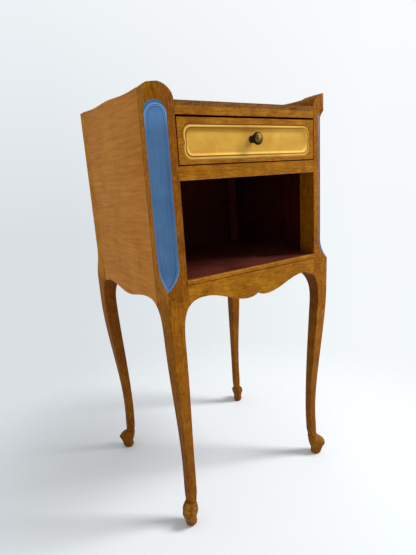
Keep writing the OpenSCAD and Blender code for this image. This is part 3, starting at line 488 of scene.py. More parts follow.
class Quarter(Enum):
    """The four corners of the case. Shapes are drawn for the right rear one and mirrored to the others."""

    RIGHT_FRONT = (1, -1)
    LEFT_FRONT = (-1, -1)
    RIGHT_REAR = (1, 1)
    LEFT_REAR = (-1, 1)

    @property
    def label(self) -> str:
        """The corner's name as it stands in the names of the pieces."""
        return self.name.lower()

    @property
    def side(self) -> int:
        """Which way is out: 1 at the right and -1 at the left."""
        return self.value[0]

    @property
    def front(self) -> bool:
        """Whether it is a front corner."""
        return self.value[1] < 0

    def mirror(self) -> Matrix:
        """Returns the matrix that mirrors a shape to this corner."""
        return Matrix.Diagonal((*self.value, 1, 1))


class Mesher:
    """Steps that every new piece goes through."""

    @staticmethod
    def link(name: str, data: bpy.types.ID) -> bpy.types.Object:
        """Puts a new object in the scene.

        Args:
            name: Its name.
            data: Its mesh, camera or light.

        Returns:
            The object.
        """
        made = bpy.data.objects.new(name, data)
        bpy.context.scene.collection.objects.link(made)
        return made

    @staticmethod
    def piece(mesh: bmesh.types.BMesh, name: str, materials: Sequence[bpy.types.Material],
              smooth_angle: float) -> bpy.types.Object:
        """Turns a bmesh in metres into an object, smooth but with its sharp edges and flat faces kept.

        Args:
            mesh: The shape, which is freed.
            name: The object's name.
            materials: Its materials, in the order of the faces' numbers for them.
            smooth_angle: Edges sharper than this many degrees stay sharp.

        Returns:
            The object, at the origin.
        """
        data = bpy.data.meshes.new(name)
        mesh.to_mesh(data)
        mesh.free()
        for material in materials:
            data.materials.append(material)
        data.shade_smooth()
        data.set_sharp_from_angle(angle=math.radians(smooth_angle))
        made = Mesher.link(name, data)
        made.modifiers.new("flat_faces", "WEIGHTED_NORMAL").keep_sharp = True
        return made

    @staticmethod
    def finish(mesh: bmesh.types.BMesh, name: str, finish: Finish,
               smooth_angle: float = SMOOTH_ANGLE) -> bpy.types.Object:
        """Turns a bmesh in millimetres into an object with one finish.

        Args:
            mesh: The shape, which is freed.
            name: The object's name.
            finish: What its surface is.
            smooth_angle: Edges sharper than this many degrees stay sharp.

        Returns:
            The object, at the origin.
        """
        bmesh.ops.recalc_face_normals(mesh, faces=mesh.faces)
        bmesh.ops.scale(mesh, vec=(MM, MM, MM), verts=mesh.verts)
        return Mesher.piece(mesh, name, [finish.material], smooth_angle)

    @staticmethod
    def grow(mesh: bmesh.types.BMesh, rings: Sequence[Sequence[Point]]) -> None:
        """Extrudes one face through a row of rings and closes both ends.

        Args:
            mesh: The bmesh to add to.
            rings: Rings of points, each with as many as the first.
        """
        first = mesh.faces.new([mesh.verts.new(point) for point in rings[0]])
        copied = bmesh.ops.duplicate(mesh, geom=[first])
        face = next(item for item in copied["geom"] if isinstance(item, bmesh.types.BMFace))
        for ring in rings[1:]:
            face = bmesh.ops.extrude_discrete_faces(mesh, faces=[face])["faces"][0]
            for vert, point in zip(face.verts, ring):
                vert.co = point
        bmesh.ops.remove_doubles(mesh, verts=mesh.verts, dist=WELD)

    @staticmethod
    def spun(mesh: bmesh.types.BMesh, verts: Sequence[bmesh.types.BMVert], axis: Point, steps: int) -> None:
        """Turns a row of points right round an axis that runs along Y.

        Args:
            mesh: The bmesh that the points are in.
            verts: The points, in order.
            axis: A point on the axis.
            steps: How many faces lie round it.
        """
        edges = [mesh.edges.new(pair) for pair in zip(verts, verts[1:])]
        bmesh.ops.spin(mesh, geom=[*verts, *edges], cent=axis, axis=(0, 1, 0), angle=math.tau, steps=steps,
                       use_merge=True)
        bmesh.ops.remove_doubles(mesh, verts=mesh.verts, dist=WELD)

    @staticmethod
    def darken(mesh: bmesh.types.BMesh, meets: Callable[[bmesh.types.BMFace], bool]) -> None:
        """Paints shade on the edges and faces that lie in the gap of an open joint.

        Args:
            mesh: The bmesh.
            meets: Tells whether a face lies in the joint.
        """
        wear, shade = (mesh.faces.layers.float[name] for name in ("wear", "shade"))
        for face in mesh.faces:
            if meets(face):
                face[wear], face[shade] = 0.0, JOINT_PAINTED_SHADE

    @staticmethod
    def corners(low: Place, high: Place) -> list[Place]:
        """Returns a rectangle's corners, anticlockwise from the low end of its right edge."""
        return [(high[0], low[1]), high, (low[0], high[1]), low]

    @staticmethod
    def rounded(corners: Sequence[Place], radii: Sequence[float], steps: int,
                height: float) -> list[Point]:
        """Returns a convex outline with round corners, lying at a height.

        Args:
            corners: Its sharp corners, anticlockwise.
            radii: The radius of each corner.
            steps: Points on each corner, less one.
            height: Its height.

        Returns:
            The points, anticlockwise.
        """
        points = []
        for index, corner in enumerate(corners):
            here = Vector(corner)
            before = Vector(corners[index - 1]) - here
            after = Vector(corners[(index + 1) % len(corners)]) - here
            half = before.angle(after) / 2
            reach = min(radii[index] / math.tan(half), 0.49 * before.length, 0.49 * after.length)
            inward = (before.normalized() + after.normalized()).normalized()
            centre = here + inward * (reach / math.cos(half))
            start = here + before.normalized() * reach - centre
            for step in range(steps + 1):
                spoke = Matrix.Rotation((math.pi - 2 * half) * step / steps, 2) @ start
                points.append((centre.x + spoke.x, centre.y + spoke.y, height))
        return points

    @staticmethod
    def cut(piece: bpy.types.Object, cutters: Sequence[bpy.types.Object]) -> None:
        """Cuts closed shapes out of a piece, which takes over their materials on the cut faces.

        Args:
            piece: The piece.
            cutters: The shapes, which are removed.
        """
        for cutter in cutters:
            step = piece.modifiers.new(cutter.name, "BOOLEAN")
            step.operation = "DIFFERENCE"
            step.solver = "EXACT"
            step.material_mode = "TRANSFER"
            step.object = cutter
        Mesher.settle(piece)
        for cutter in cutters:
            bpy.data.objects.remove(cutter, do_unlink=True)

    @staticmethod
    def settle(piece: bpy.types.Object) -> None:
        """Turns a piece's modifiers into its mesh.

        Args:
            piece: The piece.
        """
        ready = piece.evaluated_get(bpy.context.evaluated_depsgraph_get())
        data = bpy.data.meshes.new_from_object(ready)
        piece.modifiers.clear()
        piece.data = data

    @staticmethod
    def ease_edges(mesh: bmesh.types.BMesh, width: float, least_angle: float) -> None:
        """Bevels the sharp edges of a bmesh and marks the new narrow faces as worn.

        Args:
            mesh: The bmesh.
            width: The bevel's width, in the mesh's units.
            least_angle: Edges sharper than this many degrees are eased.
        """
        worn = mesh.faces.layers.float.new("wear")
        sharp = [edge for edge in mesh.edges
                 if len(edge.link_faces) == 2 and edge.calc_face_angle(0) > math.radians(least_angle)]
        eased = bmesh.ops.bevel(mesh, geom=sharp, offset=width, offset_type="OFFSET", segments=2,
                                profile=0.5, affect="EDGES", clamp_overlap=True, material=-1)
        for face in eased["faces"]:
            face[worn] = 1.0

    @staticmethod
    def stain_inside(mesh: bmesh.types.BMesh, low: float, high: float, stain: int) -> None:
        """Gives the faces that look into the case another finish between two heights.

        Args:
            mesh: The bmesh of a side, a rear post or the back, in metres.
            low: The lower height.
            high: The upper height.
            stain: The number of the other finish's material.
        """
        for height in (low, high):
            bmesh.ops.bisect_plane(mesh, geom=mesh.verts[:] + mesh.edges[:] + mesh.faces[:], dist=1e-6,
                                   plane_co=(0, 0, height), plane_no=(0, 0, 1))
        mesh.normal_update()
        for face in mesh.faces:
            centre = face.calc_center_median()
            inward = max(-math.copysign(1, centre.x) * face.normal.x, -face.normal.y)
            if low < centre.z < high and inward > INWARD:
                face.material_index = stain


@dataclass(frozen=True)
class Case:
    """The main planes of the case in millimetres, read from the frame."""

    half_width: float
    front: float
    rear: float
    top: float
    post_in: float
    post_back: float
    rear_post_front: float
    niche_floor: float
    apron_top: float
    wave_rise: float = 21.0
    wave_lean: float = 4.0
    wave_height: float = 1.2
    wave_turn: float = 600.0

    @classmethod
    def from_frame(cls) -> "Case":
        """Reads the planes from the boxes of the nodes that they bound."""
        panel, cleat, lipping, front, rear, top = (
            [[place / MM for place in corner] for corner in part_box(node)]
            for node in ("right_side_panel", "right_floor_cleat", "floor_lipping", "drawer_front",
                         "back_bottom_rail", "top_board"))
        return cls(half_width=panel[1][0], front=front[0][1], rear=rear[1][1], top=top[1][2],
                   post_in=lipping[1][0], post_back=cleat[0][1], rear_post_front=cleat[1][1],
                   niche_floor=lipping[1][2], apron_top=lipping[0][2])

    def gallery(self, along: float) -> float:
        """Returns the height of the side panels' waved top edge."""
        part = (along - self.post_back) / (self.rear_post_front - self.post_back)
        return self.top + self.wave_rise + self.wave_lean * part + self.wave_height * math.cos(
            math.radians(self.wave_turn * (part - 0.5)))


@dataclass(frozen=True)
class Leg:
    """Heights and roundings of a cabriole leg, in millimetres.

    The roundings are those of its side, outer, side and inner corner.
    """

    ankle: float
    rounds: tuple[float, float, float, float]
    ankle_z: float = 110.0
    brow_z: float = 365.0
    toe_kick: float = 1.5
    toe_z: float = 31.5
    heel: float = 3.0
    heel_z: float = 64.0
    end_z: float = 34.0
    post_round: float = 0.9
    fade: Place = (380.0, 450.0)
    steps: int = 6

    def outer(self, height: float, ankle: float, knee: float, knee_z: float) -> float:
        """Returns a leg's outer face at a height.

        Args:
            height: The height.
            ankle: Where the face is at the ankle.
            knee: Where it is at the knee.
            knee_z: The knee's height.

        Returns:
            The place of the face, outwards from the middle of the case.
        """
        grown = rise(height, self.ankle_z, knee_z)
        kick = rise(height, self.ankle_z, self.toe_z)
        return ankle + (knee - ankle) * grown + self.toe_kick * kick

    def thickness(self, height: float, knee: float) -> float:
        """Returns a leg's thickness at a height below its brow."""
        heel = self.heel * rise(height, self.heel_z, self.toe_z)
        return self.ankle - heel + (knee - self.ankle) * rise(height, self.ankle_z, self.brow_z)

    def rounding(self, height: float) -> list[float]:
        """Returns the radii of a leg's four corners at a height."""
        part = rise(height, self.fade[1], self.fade[0])
        return [self.post_round + (radius - self.post_round) * part for radius in self.rounds]

    def arch(self, height: float, crown: float, leg_in: float, post_in: float, crown_z: float) -> float:
        """Returns the inner face above the brow, where the leg arches over to the apron.

        Args:
            height: The height.
            crown: Where the arch's crown is.
            leg_in: The leg's inner face at the brow.
            post_in: The post's inner face.
            crown_z: The crown's height.

        Returns:
            The place of the inner face.
        """
        part = (height - self.brow_z) / (crown_z - self.brow_z)
        if part >= 1:
            return post_in
        return max(post_in, crown + (leg_in - crown) * (1 - part ** 3) ** (1 / 3))


@dataclass(frozen=True)
class Slant:
    """How far a knee's side face slants in towards its outer corner, in millimetres."""

    most: float
    depth: float
    full: Place = (340.0, 450.0)
    ends: Place = (165.0, 528.0)

    def inward(self, height: float) -> float:
        """Returns how far the outer corner lies in at a height."""
        return (self.most * rise(height, self.ends[0], self.full[0])
                * rise(height, self.ends[1], self.full[1]))


@dataclass
class Post:
    """A post and its leg as one carved piece. The shape is drawn in the right rear quarter."""

    case: Case
    leg: Leg
    post_in: Place
    planes: Place
    ankle: Place
    knee: Place
    knee_z: Place
    knee_thick: Place
    crown: Place
    crown_z: float
    slant: Slant
    hip: Place = (0.0, 0.0)
    ear_width: float = 30.0
    ear_top: float = 763.0
    ear_slope: float = 3.4
    ear_tuck: float = 3.0
    ear_edge: float = 14.0
    ear_root: float = 1.0

    @property
    def ear_base(self) -> float:
        """The height where the ear begins."""
        return self.case.top - self.ear_root

    def outer(self, axis: int, height: float) -> float:
        """Returns the outer face on one axis, at a height.

        Args:
            axis: 0 across the case, 1 along its depth.
            height: The height.

        Returns:
            The place of the face, outwards from the middle of the case.
        """
        knee = self.knee[axis]
        if height <= self.knee_z[axis]:
            return self.leg.outer(height, self.ankle[axis], knee, self.knee_z[axis])
        over = knee - self.planes[axis]
        if over <= 0 or self.hip[1] <= self.hip[0]:
            return self.planes[axis]
        return knee - over * rise(height, *self.hip)

    def inner(self, axis: int, height: float) -> float:
        """Returns the inner face on one axis, at a height.

        Args:
            axis: 0 across the case, 1 along its depth.
            height: The height.

        Returns:
            The place of the face, outwards from the middle of the case.
        """
        if height <= self.leg.brow_z:
            return self.outer(axis, height) - self.leg.thickness(height, self.knee_thick[axis])
        brow = self.outer(axis, self.leg.brow_z) - self.knee_thick[axis]
        return self.leg.arch(height, self.crown[axis], brow, self.post_in[axis], self.crown_z)

    def section(self, height: float) -> list[Point]:
        """Returns the outline of the post at a height, ear included.

        Args:
            height: The height.

        Returns:
            The outline's points, anticlockwise.
        """
        low = [self.inner(0, height), self.inner(1, height)]
        high = [self.outer(0, height), self.outer(1, height)]
        if height > self.ear_base:
            part = min(1.0, (height - self.ear_base) / (self.ear_top - self.ear_base))
            low[0] += self.ear_width * (1 - math.sqrt(1 - part * part))
        shoulder = self.ear_top - self.ear_slope
        if height > shoulder:
            part = (height - shoulder) / self.ear_slope
            high[0] -= self.ear_tuck * part ** 2
            low[1] += (high[1] - self.ear_edge - low[1]) * part
        corners = Mesher.corners((low[0], low[1]), (high[0], high[1]))
        inward = self.slant.inward(height)
        behind = max(0.0, 1 - (high[1] - low[1]) / self.slant.depth)
        corners[0] = (high[0] - inward * behind, low[1])
        corners[1] = (high[0] - inward, high[1])
        return Mesher.rounded(corners, self.leg.rounding(height), self.leg.steps, height)

    def heights(self) -> list[float]:
        """Returns the heights of the sections, close together where the outline turns.

        Returns:
            The heights, from the foot up.
        """
        brow, base = self.leg.brow_z, self.ear_base
        leg = [self.leg.end_z + step * 5.0 for step in range(70)]
        leg = [height for height in leg if height < brow - 3]
        arch = [brow + (self.crown_z - brow) * step / 28 for step in range(29)]
        hip = [self.crown_z + 6 + step * 6.0 for step in range(11)] if self.hip[1] > self.hip[0] else []
        ear = [base + (self.ear_top - base) * math.sin(math.radians(90 * step / 20)) for step in range(21)]
        return leg + arch + hip + [base - 4] + ear

    def blank(self, name: str) -> bpy.types.Object:
        """Returns the post before any recess is cut.

        Args:
            name: The object's name.

        Returns:
            The post in the right rear quarter.
        """
        mesh = bmesh.new()
        Mesher.grow(mesh, [self.section(height) for height in self.heights()])
        return Mesher.finish(mesh, name, Finish.POST)


@dataclass
class CantedCorner:
    """The canted corner of a front post and its painted recess, in millimetres.

    Shapes are drawn in the face's own frame: X outwards from the corner, Y along the face, Z up.
    """

    case: Case
    slant: Slant
    width: float = 27.0
    depth: float = 20.8
    ear_share: float = 0.6
    top_z: float = 719.0
    low_z: float = 490.0
    scoop_radius: float = 54.0
    splay: float = 0.4
    bed: float = 1.6
    bed_inset: float = 0.12
    end_margin: float = 0.2
    reach: float = 60.0
    steps: int = 26
    # Painted light on the blue field, stronger up to its round end, and where it reaches.
    top_painted_light: float = 0.25
    top_painted_light_span: Place = (-90.0, -10.0)
    rim_painted_light: float = 0.9
    rim_painted_light_span: Place = (-14.0, 2.0)
    tip_span: Place = (15.0, -30.0)
    end_span: Place = (-6.0, 10.0)
    clarity: Place = (0.3, 1.2)
    # Each ring's relief darkens grooves and lightens rims: partly dirt and rubbing, partly painted shade and
    # highlight.
    profile: Sequence[Point] = (
        (0.06, -1.55, 0.0), (0.06, -0.30, 0.0), (0.35, 0.0, 0.8), (1.2, 0.08, 1.0), (2.3, 0.05, 0.8),
        (2.7, -0.35, -0.7), (3.15, -0.40, -0.8), (3.55, -0.02, 0.5), (4.2, 0.0, 0.7), (4.7, -0.25, -0.2),
        (5.1, -1.0, -1.0), (5.7, -1.15, -0.5), (6.6, -1.18, 0.0))

    @property
    def length(self) -> float:
        """The canted face's length."""
        return math.hypot(self.width, self.depth)

    @property
    def fall(self) -> float:
        """The face's distance from the corner that it takes off."""
        return self.width * self.depth / self.length

    @property
    def corner(self) -> float:
        """The corner's place along the face, from its middle."""
        return self.depth ** 2 / self.length - self.length / 2

    def placed(self, quarter: Quarter) -> Matrix:
        """Returns the matrix from the face's frame to a quarter of the case."""
        corner = Matrix.Translation((self.case.half_width, -self.case.front, 0))
        return quarter.mirror() @ corner @ Matrix.Rotation(self.turn, 4, "Z") @ Matrix.Translation(
            (0, -self.corner, 0))

    def scoop(self, height: float) -> float:
        """Returns the recess floor's distance from the corner, at a height."""
        below = max(0.0, self.low_z - height)
        return self.fall - self.scoop_radius + math.sqrt(max(0.0, self.scoop_radius ** 2 - below ** 2))

    def scoop_height(self, distance: float) -> float:
        """Returns the height where the scooped floor has a distance from the corner."""
        rest = self.scoop_radius - self.fall + distance
        return self.low_z - math.sqrt(max(0.0, self.scoop_radius ** 2 - rest ** 2))

    @property
    def turn(self) -> float:
        """The angle of the face's outward normal, in radians."""
        return math.atan2(self.width, self.depth)

    def edges(self, distance: float) -> Place:
        """Returns the face's two edges where its floor has a distance from the corner.

        Args:
            distance: The distance.

        Returns:
            The places along the face of its near and its far edge.
        """
        inward = self.slant.inward(self.scoop_height(distance))
        slope = inward / self.slant.depth
        side = inward - distance * (math.cos(self.turn) + slope * math.sin(self.turn))
        return (self.corner + side / (math.sin(self.turn) - slope * math.cos(self.turn)),
                self.corner + distance * math.tan(self.turn))

    def tip(self, inset: float) -> float:
        """Finds where the outline, drawn in by an inset, has its tip.

        Args:
            inset: The inset.

        Returns:
            The tip's distance from the corner.
        """
        low, high = 0.0, self.fall
        while high - low > 0.01:
            middle = (low + high) / 2
            near, far = self.edges(middle)
            low, high = (low, middle) if far - near > 2 * inset else (middle, high)
        return high

    def outline(self, inset: float) -> list[Place]:
        """Draws the recess's outline, from its tip up the far edge and back.

        Args:
            inset: How far it is drawn in.

        Returns:
            The places along the face and up.
        """
        tip = self.tip(inset)
        near, far = [], []
        for step in range(self.steps + 1):
            distance = tip + (self.fall - tip) * math.sin(math.radians(90 * step / self.steps))
            low, high = self.edges(distance)
            height = self.scoop_height(distance)
            near.append((low + inset, height))
            far.append((high - inset, height))
        half = self.length / 2 - inset
        straight = [self.low_z + (self.top_z - self.low_z) * step / 10 for step in range(1, 10)]
        turns = [math.radians(5 * step) for step in range(37)]
        arch = [(half * math.cos(turn), self.top_z + half * math.sin(turn)) for turn in turns]
        up = far + [(half, height) for height in straight]
        down = near + [(-half, height) for height in straight]
        return up + arch + down[::-1]

    def recess(self) -> list[bpy.types.Object]:
        """Builds the closed shapes that cut the recess and the ear's chamfer out of a post's blank.

        Returns:
            The recess's body, its round end, the bed of its painted floor, and the chamfer.
        """
        body, end, bed, chamfer = (bmesh.new() for _ in range(4))
        drop = self.low_z - self.scoop_height(0.0)
        heights = [self.low_z - drop * step / 20 for step in range(20, -1, -1)]
        ring = [(-self.scoop(height), height) for height in heights]
        ring += [(-self.fall, self.top_z), (self.reach, self.top_z), (self.reach, heights[0] - 1)]
        half = self.length / 2 + 4
        Mesher.grow(body, [[(x, y, z) for x, z in ring] for y in (-half, half)])
        depth = self.fall + 6
        radius = self.length / 2 + self.end_margin
        lie = Matrix.Translation((-self.fall + depth / 2, 0, self.top_z))
        bmesh.ops.create_cone(end, cap_ends=True, segments=96, radius1=radius, depth=depth,
                              radius2=radius + self.splay * depth,
                              matrix=lie @ Matrix.Rotation(math.radians(90), 4, "Y"))
        self._shell(bed, ((self.bed_inset, -self.bed, 0.0), (self.bed_inset, self.bed, 0.0)))
        half = self.reach / 2
        away = Matrix.Translation((-self.fall * self.ear_share + half, 0, self.top_z + half))
        bmesh.ops.create_cube(chamfer, size=self.reach, matrix=away @ Matrix.Diagonal((1, 4, 1, 1)))
        made = []
        for name, mesh, finish in (("recess_body", body, Finish.BLUE), ("recess_end", end, Finish.BLUE),
                                   ("recess_bed", bed, Finish.BLUE), ("ear_chamfer", chamfer, Finish.POST)):
            bmesh.ops.transform(mesh, matrix=self.placed(Quarter.RIGHT_REAR), verts=mesh.verts)
            made.append(Mesher.finish(mesh, name, finish))
            made[-1].modifiers.clear()
        return made

    def panel(self, quarter: Quarter, shade: float) -> bpy.types.Object:
        """Builds the moulded, painted floor of one recess.

        Args:
            quarter: The recess's corner.
            shade: Its painted shade, how light or dark it is.

        Returns:
            The floor.
        """
        mesh = bmesh.new()
        self._shell(mesh, self.profile)
        tone = mesh.verts.layers.float.new("shade")
        # Painted light lightens the field towards its round top end.
        for vert in mesh.verts:
            over = vert.co.z - self.top_z
            vert[tone] = (shade + self.top_painted_light * rise(over, *self.top_painted_light_span)
                          + self.rim_painted_light * rise(over, *self.rim_painted_light_span))
        bmesh.ops.transform(mesh, matrix=self.placed(quarter), verts=mesh.verts)
        return Mesher.finish(mesh, f"{quarter.label}_painted_panel", Finish.BLUE, 60.0)

    def _clarity(self, height: float) -> float:
        """Returns how clearly the mouldings' relief colours stand out, partly painted shade and highlight:
        fully at the tip and the round end, little between.
        """
        ends = (rise(height - self.low_z, *self.tip_span), rise(height - self.top_z, *self.end_span))
        return self.clarity[0] + self.clarity[1] * max(ends)

    def _shell(self, mesh: bmesh.types.BMesh, profile: Sequence[Point]) -> None:
        """Adds a closed shell that follows the recess's outline and its scooped floor.

        Args:
            mesh: The bmesh to add to.
            profile: Inset from the outline, rise above the floor and relief of each ring, back to front.
        """
        relief = mesh.verts.layers.float.new("relief")
        rings, loops = [], []
        for inset, rise, tone in profile:
            ring = []
            for along, height in self.outline(inset):
                vert = mesh.verts.new((-self.scoop(height) + rise, along, height))
                vert[relief] = tone * self._clarity(height)
                ring.append(vert)
            rings.append(ring)
            loops.append([mesh.edges.new(pair) for pair in zip(ring, ring[1:] + ring[:1])])
        for outer, inner in zip(loops, loops[1:]):
            bmesh.ops.bridge_loops(mesh, edges=outer + inner)
        for ring, loop in ((rings[0], loops[0]), (rings[-1], loops[-1])):
            rungs = [mesh.edges.new((ring[index], ring[-1 - index]))
                     for index in range(1, len(ring) // 2)]
            bmesh.ops.edgenet_fill(mesh, edges=loop + rungs)


@dataclass(frozen=True)
class FootRing:
    """One level section of a foot: its height, and the reach and half width of its heel, flanks and toe."""

    height: float
    heel: Place
    flanks: Place
    toe: Place
    rounding: float = 4.5

    def outline(self) -> list[Point]:
        """Draws the section.

        Returns:
            Its outline, anticlockwise, with eased corners.
        """
        right = [self.toe, self.flanks, self.heel]
        left = [(reach, -half) for reach, half in right[::-1]]
        corners = left[-1:] + right + left[:-1]
        return Mesher.rounded(corners, [self.rounding] * len(corners), 5, self.height)


@dataclass
class ScrollFoot:
    """The carved scroll and pad at the end of a leg, in millimetres.

    It is drawn on the leg's own diagonal: X outwards, Y across, Z up.
    """

    out: float = 16.0
    height: float = 28.0
    radius: float = 7.4
    half_width: float = 12.4
    voxel: float = 0.7
    passes: int = 4
    # Where the painted shade under the brim lies, how wide and how dark.
    brim_z: float = 44.0
    brim_reach: float = 1.6
    brim_painted_shade: float = -0.8
    shade: float = -0.85
    rear_wear: float = 0.3
    worn: Point = (0.35, 0.4, 0.4)
    block_rise: Place = (6.0, 20.0)
    block_fall: Place = (50.0, 44.0)
    settle_z: float = 8.0
    body: Sequence[FootRing] = (
        FootRing(54.0, (-6.0, 3.0), (1.0, 7.0), (7.0, 3.0)),
        FootRing(46.5, (-6.5, 3.5), (2.0, 8.5), (8.5, 3.6)),
        FootRing(43.8, (-7.0, 5.0), (5.0, 10.8), (11.4, 7.8)),
        FootRing(39.0, (-6.4, 6.0), (8.0, 13.6), (17.6, 8.8)),
        FootRing(34.5, (-5.8, 6.5), (10.0, 15.2), (24.6, 9.2)),
        FootRing(30.5, (-5.0, 7.0), (11.5, 15.2), (29.0, 8.4)),
        FootRing(27.0, (-4.3, 7.0), (12.0, 14.6), (30.8, 7.2)),
        FootRing(23.5, (-3.4, 7.0), (12.0, 13.4), (29.8, 6.4)),
        FootRing(19.5, (-2.0, 7.0), (12.0, 11.8), (27.2, 6.2)),
        FootRing(14.0, (0.2, 7.0), (12.0, 10.8), (24.6, 6.4)),
        FootRing(11.0, (0.6, 7.0), (12.0, 10.8), (23.4, 6.6)),
        FootRing(7.0, (-0.4, 7.0), (11.5, 11.2), (22.3, 6.8)),
        FootRing(3.0, (0.2, 6.6), (11.5, 10.8), (20.9, 6.4)),
        FootRing(0.6, (1.8, 5.6), (11.5, 9.6), (18.9, 5.2)),
        FootRing(0.0, (3.0, 4.6), (11.5, 8.6), (17.4, 4.2)))

    def _add_scroll(self, mesh: bmesh.types.BMesh) -> None:
        """Adds the rolled scroll: a spool with raised rims and a button at each end.

        Args:
            mesh: The bmesh to add to.
        """
        half, radius = self.half_width, self.radius
        profile = ((0.0, -half - 0.8), (2.0, -half - 0.7), (2.8, -half), (3.4, -half + 0.9),
                   (4.6, -half + 0.9), (5.4, -half), (radius, -half + 0.4), (radius + 0.2, -half + 1.6),
                   (radius, 0.0))
        whole = list(profile) + [(reach, -along) for reach, along in profile[-2::-1]]
        verts = [mesh.verts.new((self.out + reach, along, self.height)) for reach, along in whole]
        Mesher.spun(mesh, verts, (self.out, 0, self.height), 48)

    def build(self, quarter: Quarter, middle: Sequence[float]) -> bpy.types.Object:
        """Builds the foot of one leg, remeshed so that scroll, leg and pad flow together.

        Args:
            quarter: The leg's corner.
            middle: The leg's middle at the ankle, in the right rear quarter.

        Returns:
            The foot.
        """
        mesh = bmesh.new()
        Mesher.grow(mesh, [ring.outline() for ring in self.body])
        self._add_scroll(mesh)
        piece = Mesher.finish(mesh, f"{quarter.label}_foot", Finish.POST)
        piece.modifiers.clear()
        fuse = piece.modifiers.new("fuse", "REMESH")
        fuse.mode = "VOXEL"
        fuse.voxel_size = self.voxel * MM
        Mesher.settle(piece)
        carved = bmesh.new()
        carved.from_mesh(piece.data)
        for _ in range(self.passes):
            bmesh.ops.smooth_vert(carved, verts=carved.verts, factor=0.5, use_axis_x=True,
                                  use_axis_y=True, use_axis_z=True)
        self._flatten(carved)
        self._dress(carved, 1.0 if quarter.front else self.rear_wear)
        place = Matrix.Translation((middle[0] * MM, middle[1] * MM, 0)) @ Matrix.Rotation(
            math.radians(45), 4, "Z")
        bmesh.ops.transform(carved, matrix=quarter.mirror() @ place, verts=carved.verts)
        bmesh.ops.recalc_face_normals(carved, faces=carved.faces)
        carved.to_mesh(piece.data)
        carved.free()
        piece.data.materials.clear()
        piece.data.materials.append(Finish.POST.material)
        piece.data.shade_smooth()
        return piece

    def _flatten(self, mesh: bmesh.types.BMesh) -> None:
        """Sets the pad's lowest points on the floor.

        Args:
            mesh: The foot, in metres.
        """
        lowest = min(vert.co.z for vert in mesh.verts)
        for vert in mesh.verts:
            vert.co.z = max(0.0, vert.co.z - lowest * max(0.0, 1 - vert.co.z / (self.settle_z * MM)))

    def _dress(self, mesh: bmesh.types.BMesh, strength: float) -> None:
        """Darkens the foot, with a line of painted shade under its brim, and rubs it most on the block's
        upper front.

        Args:
            mesh: The foot, in metres.
            strength: How worn it is.
        """
        wear, shade = (mesh.faces.layers.float.new(name) for name in ("wear", "shade"))
        for face in mesh.faces:
            height = face.calc_center_median().z / MM
            brim = max(0.0, 1 - abs(height - self.brim_z) / self.brim_reach)
            upper = rise(height, *self.block_rise) * rise(height, *self.block_fall)
            up = max(0.0, face.normal.z)
            face[shade] = self.shade + self.brim_painted_shade * brim
            face[wear] = (self.worn[0] + upper * (self.worn[1] + self.worn[2] * up)) * strength


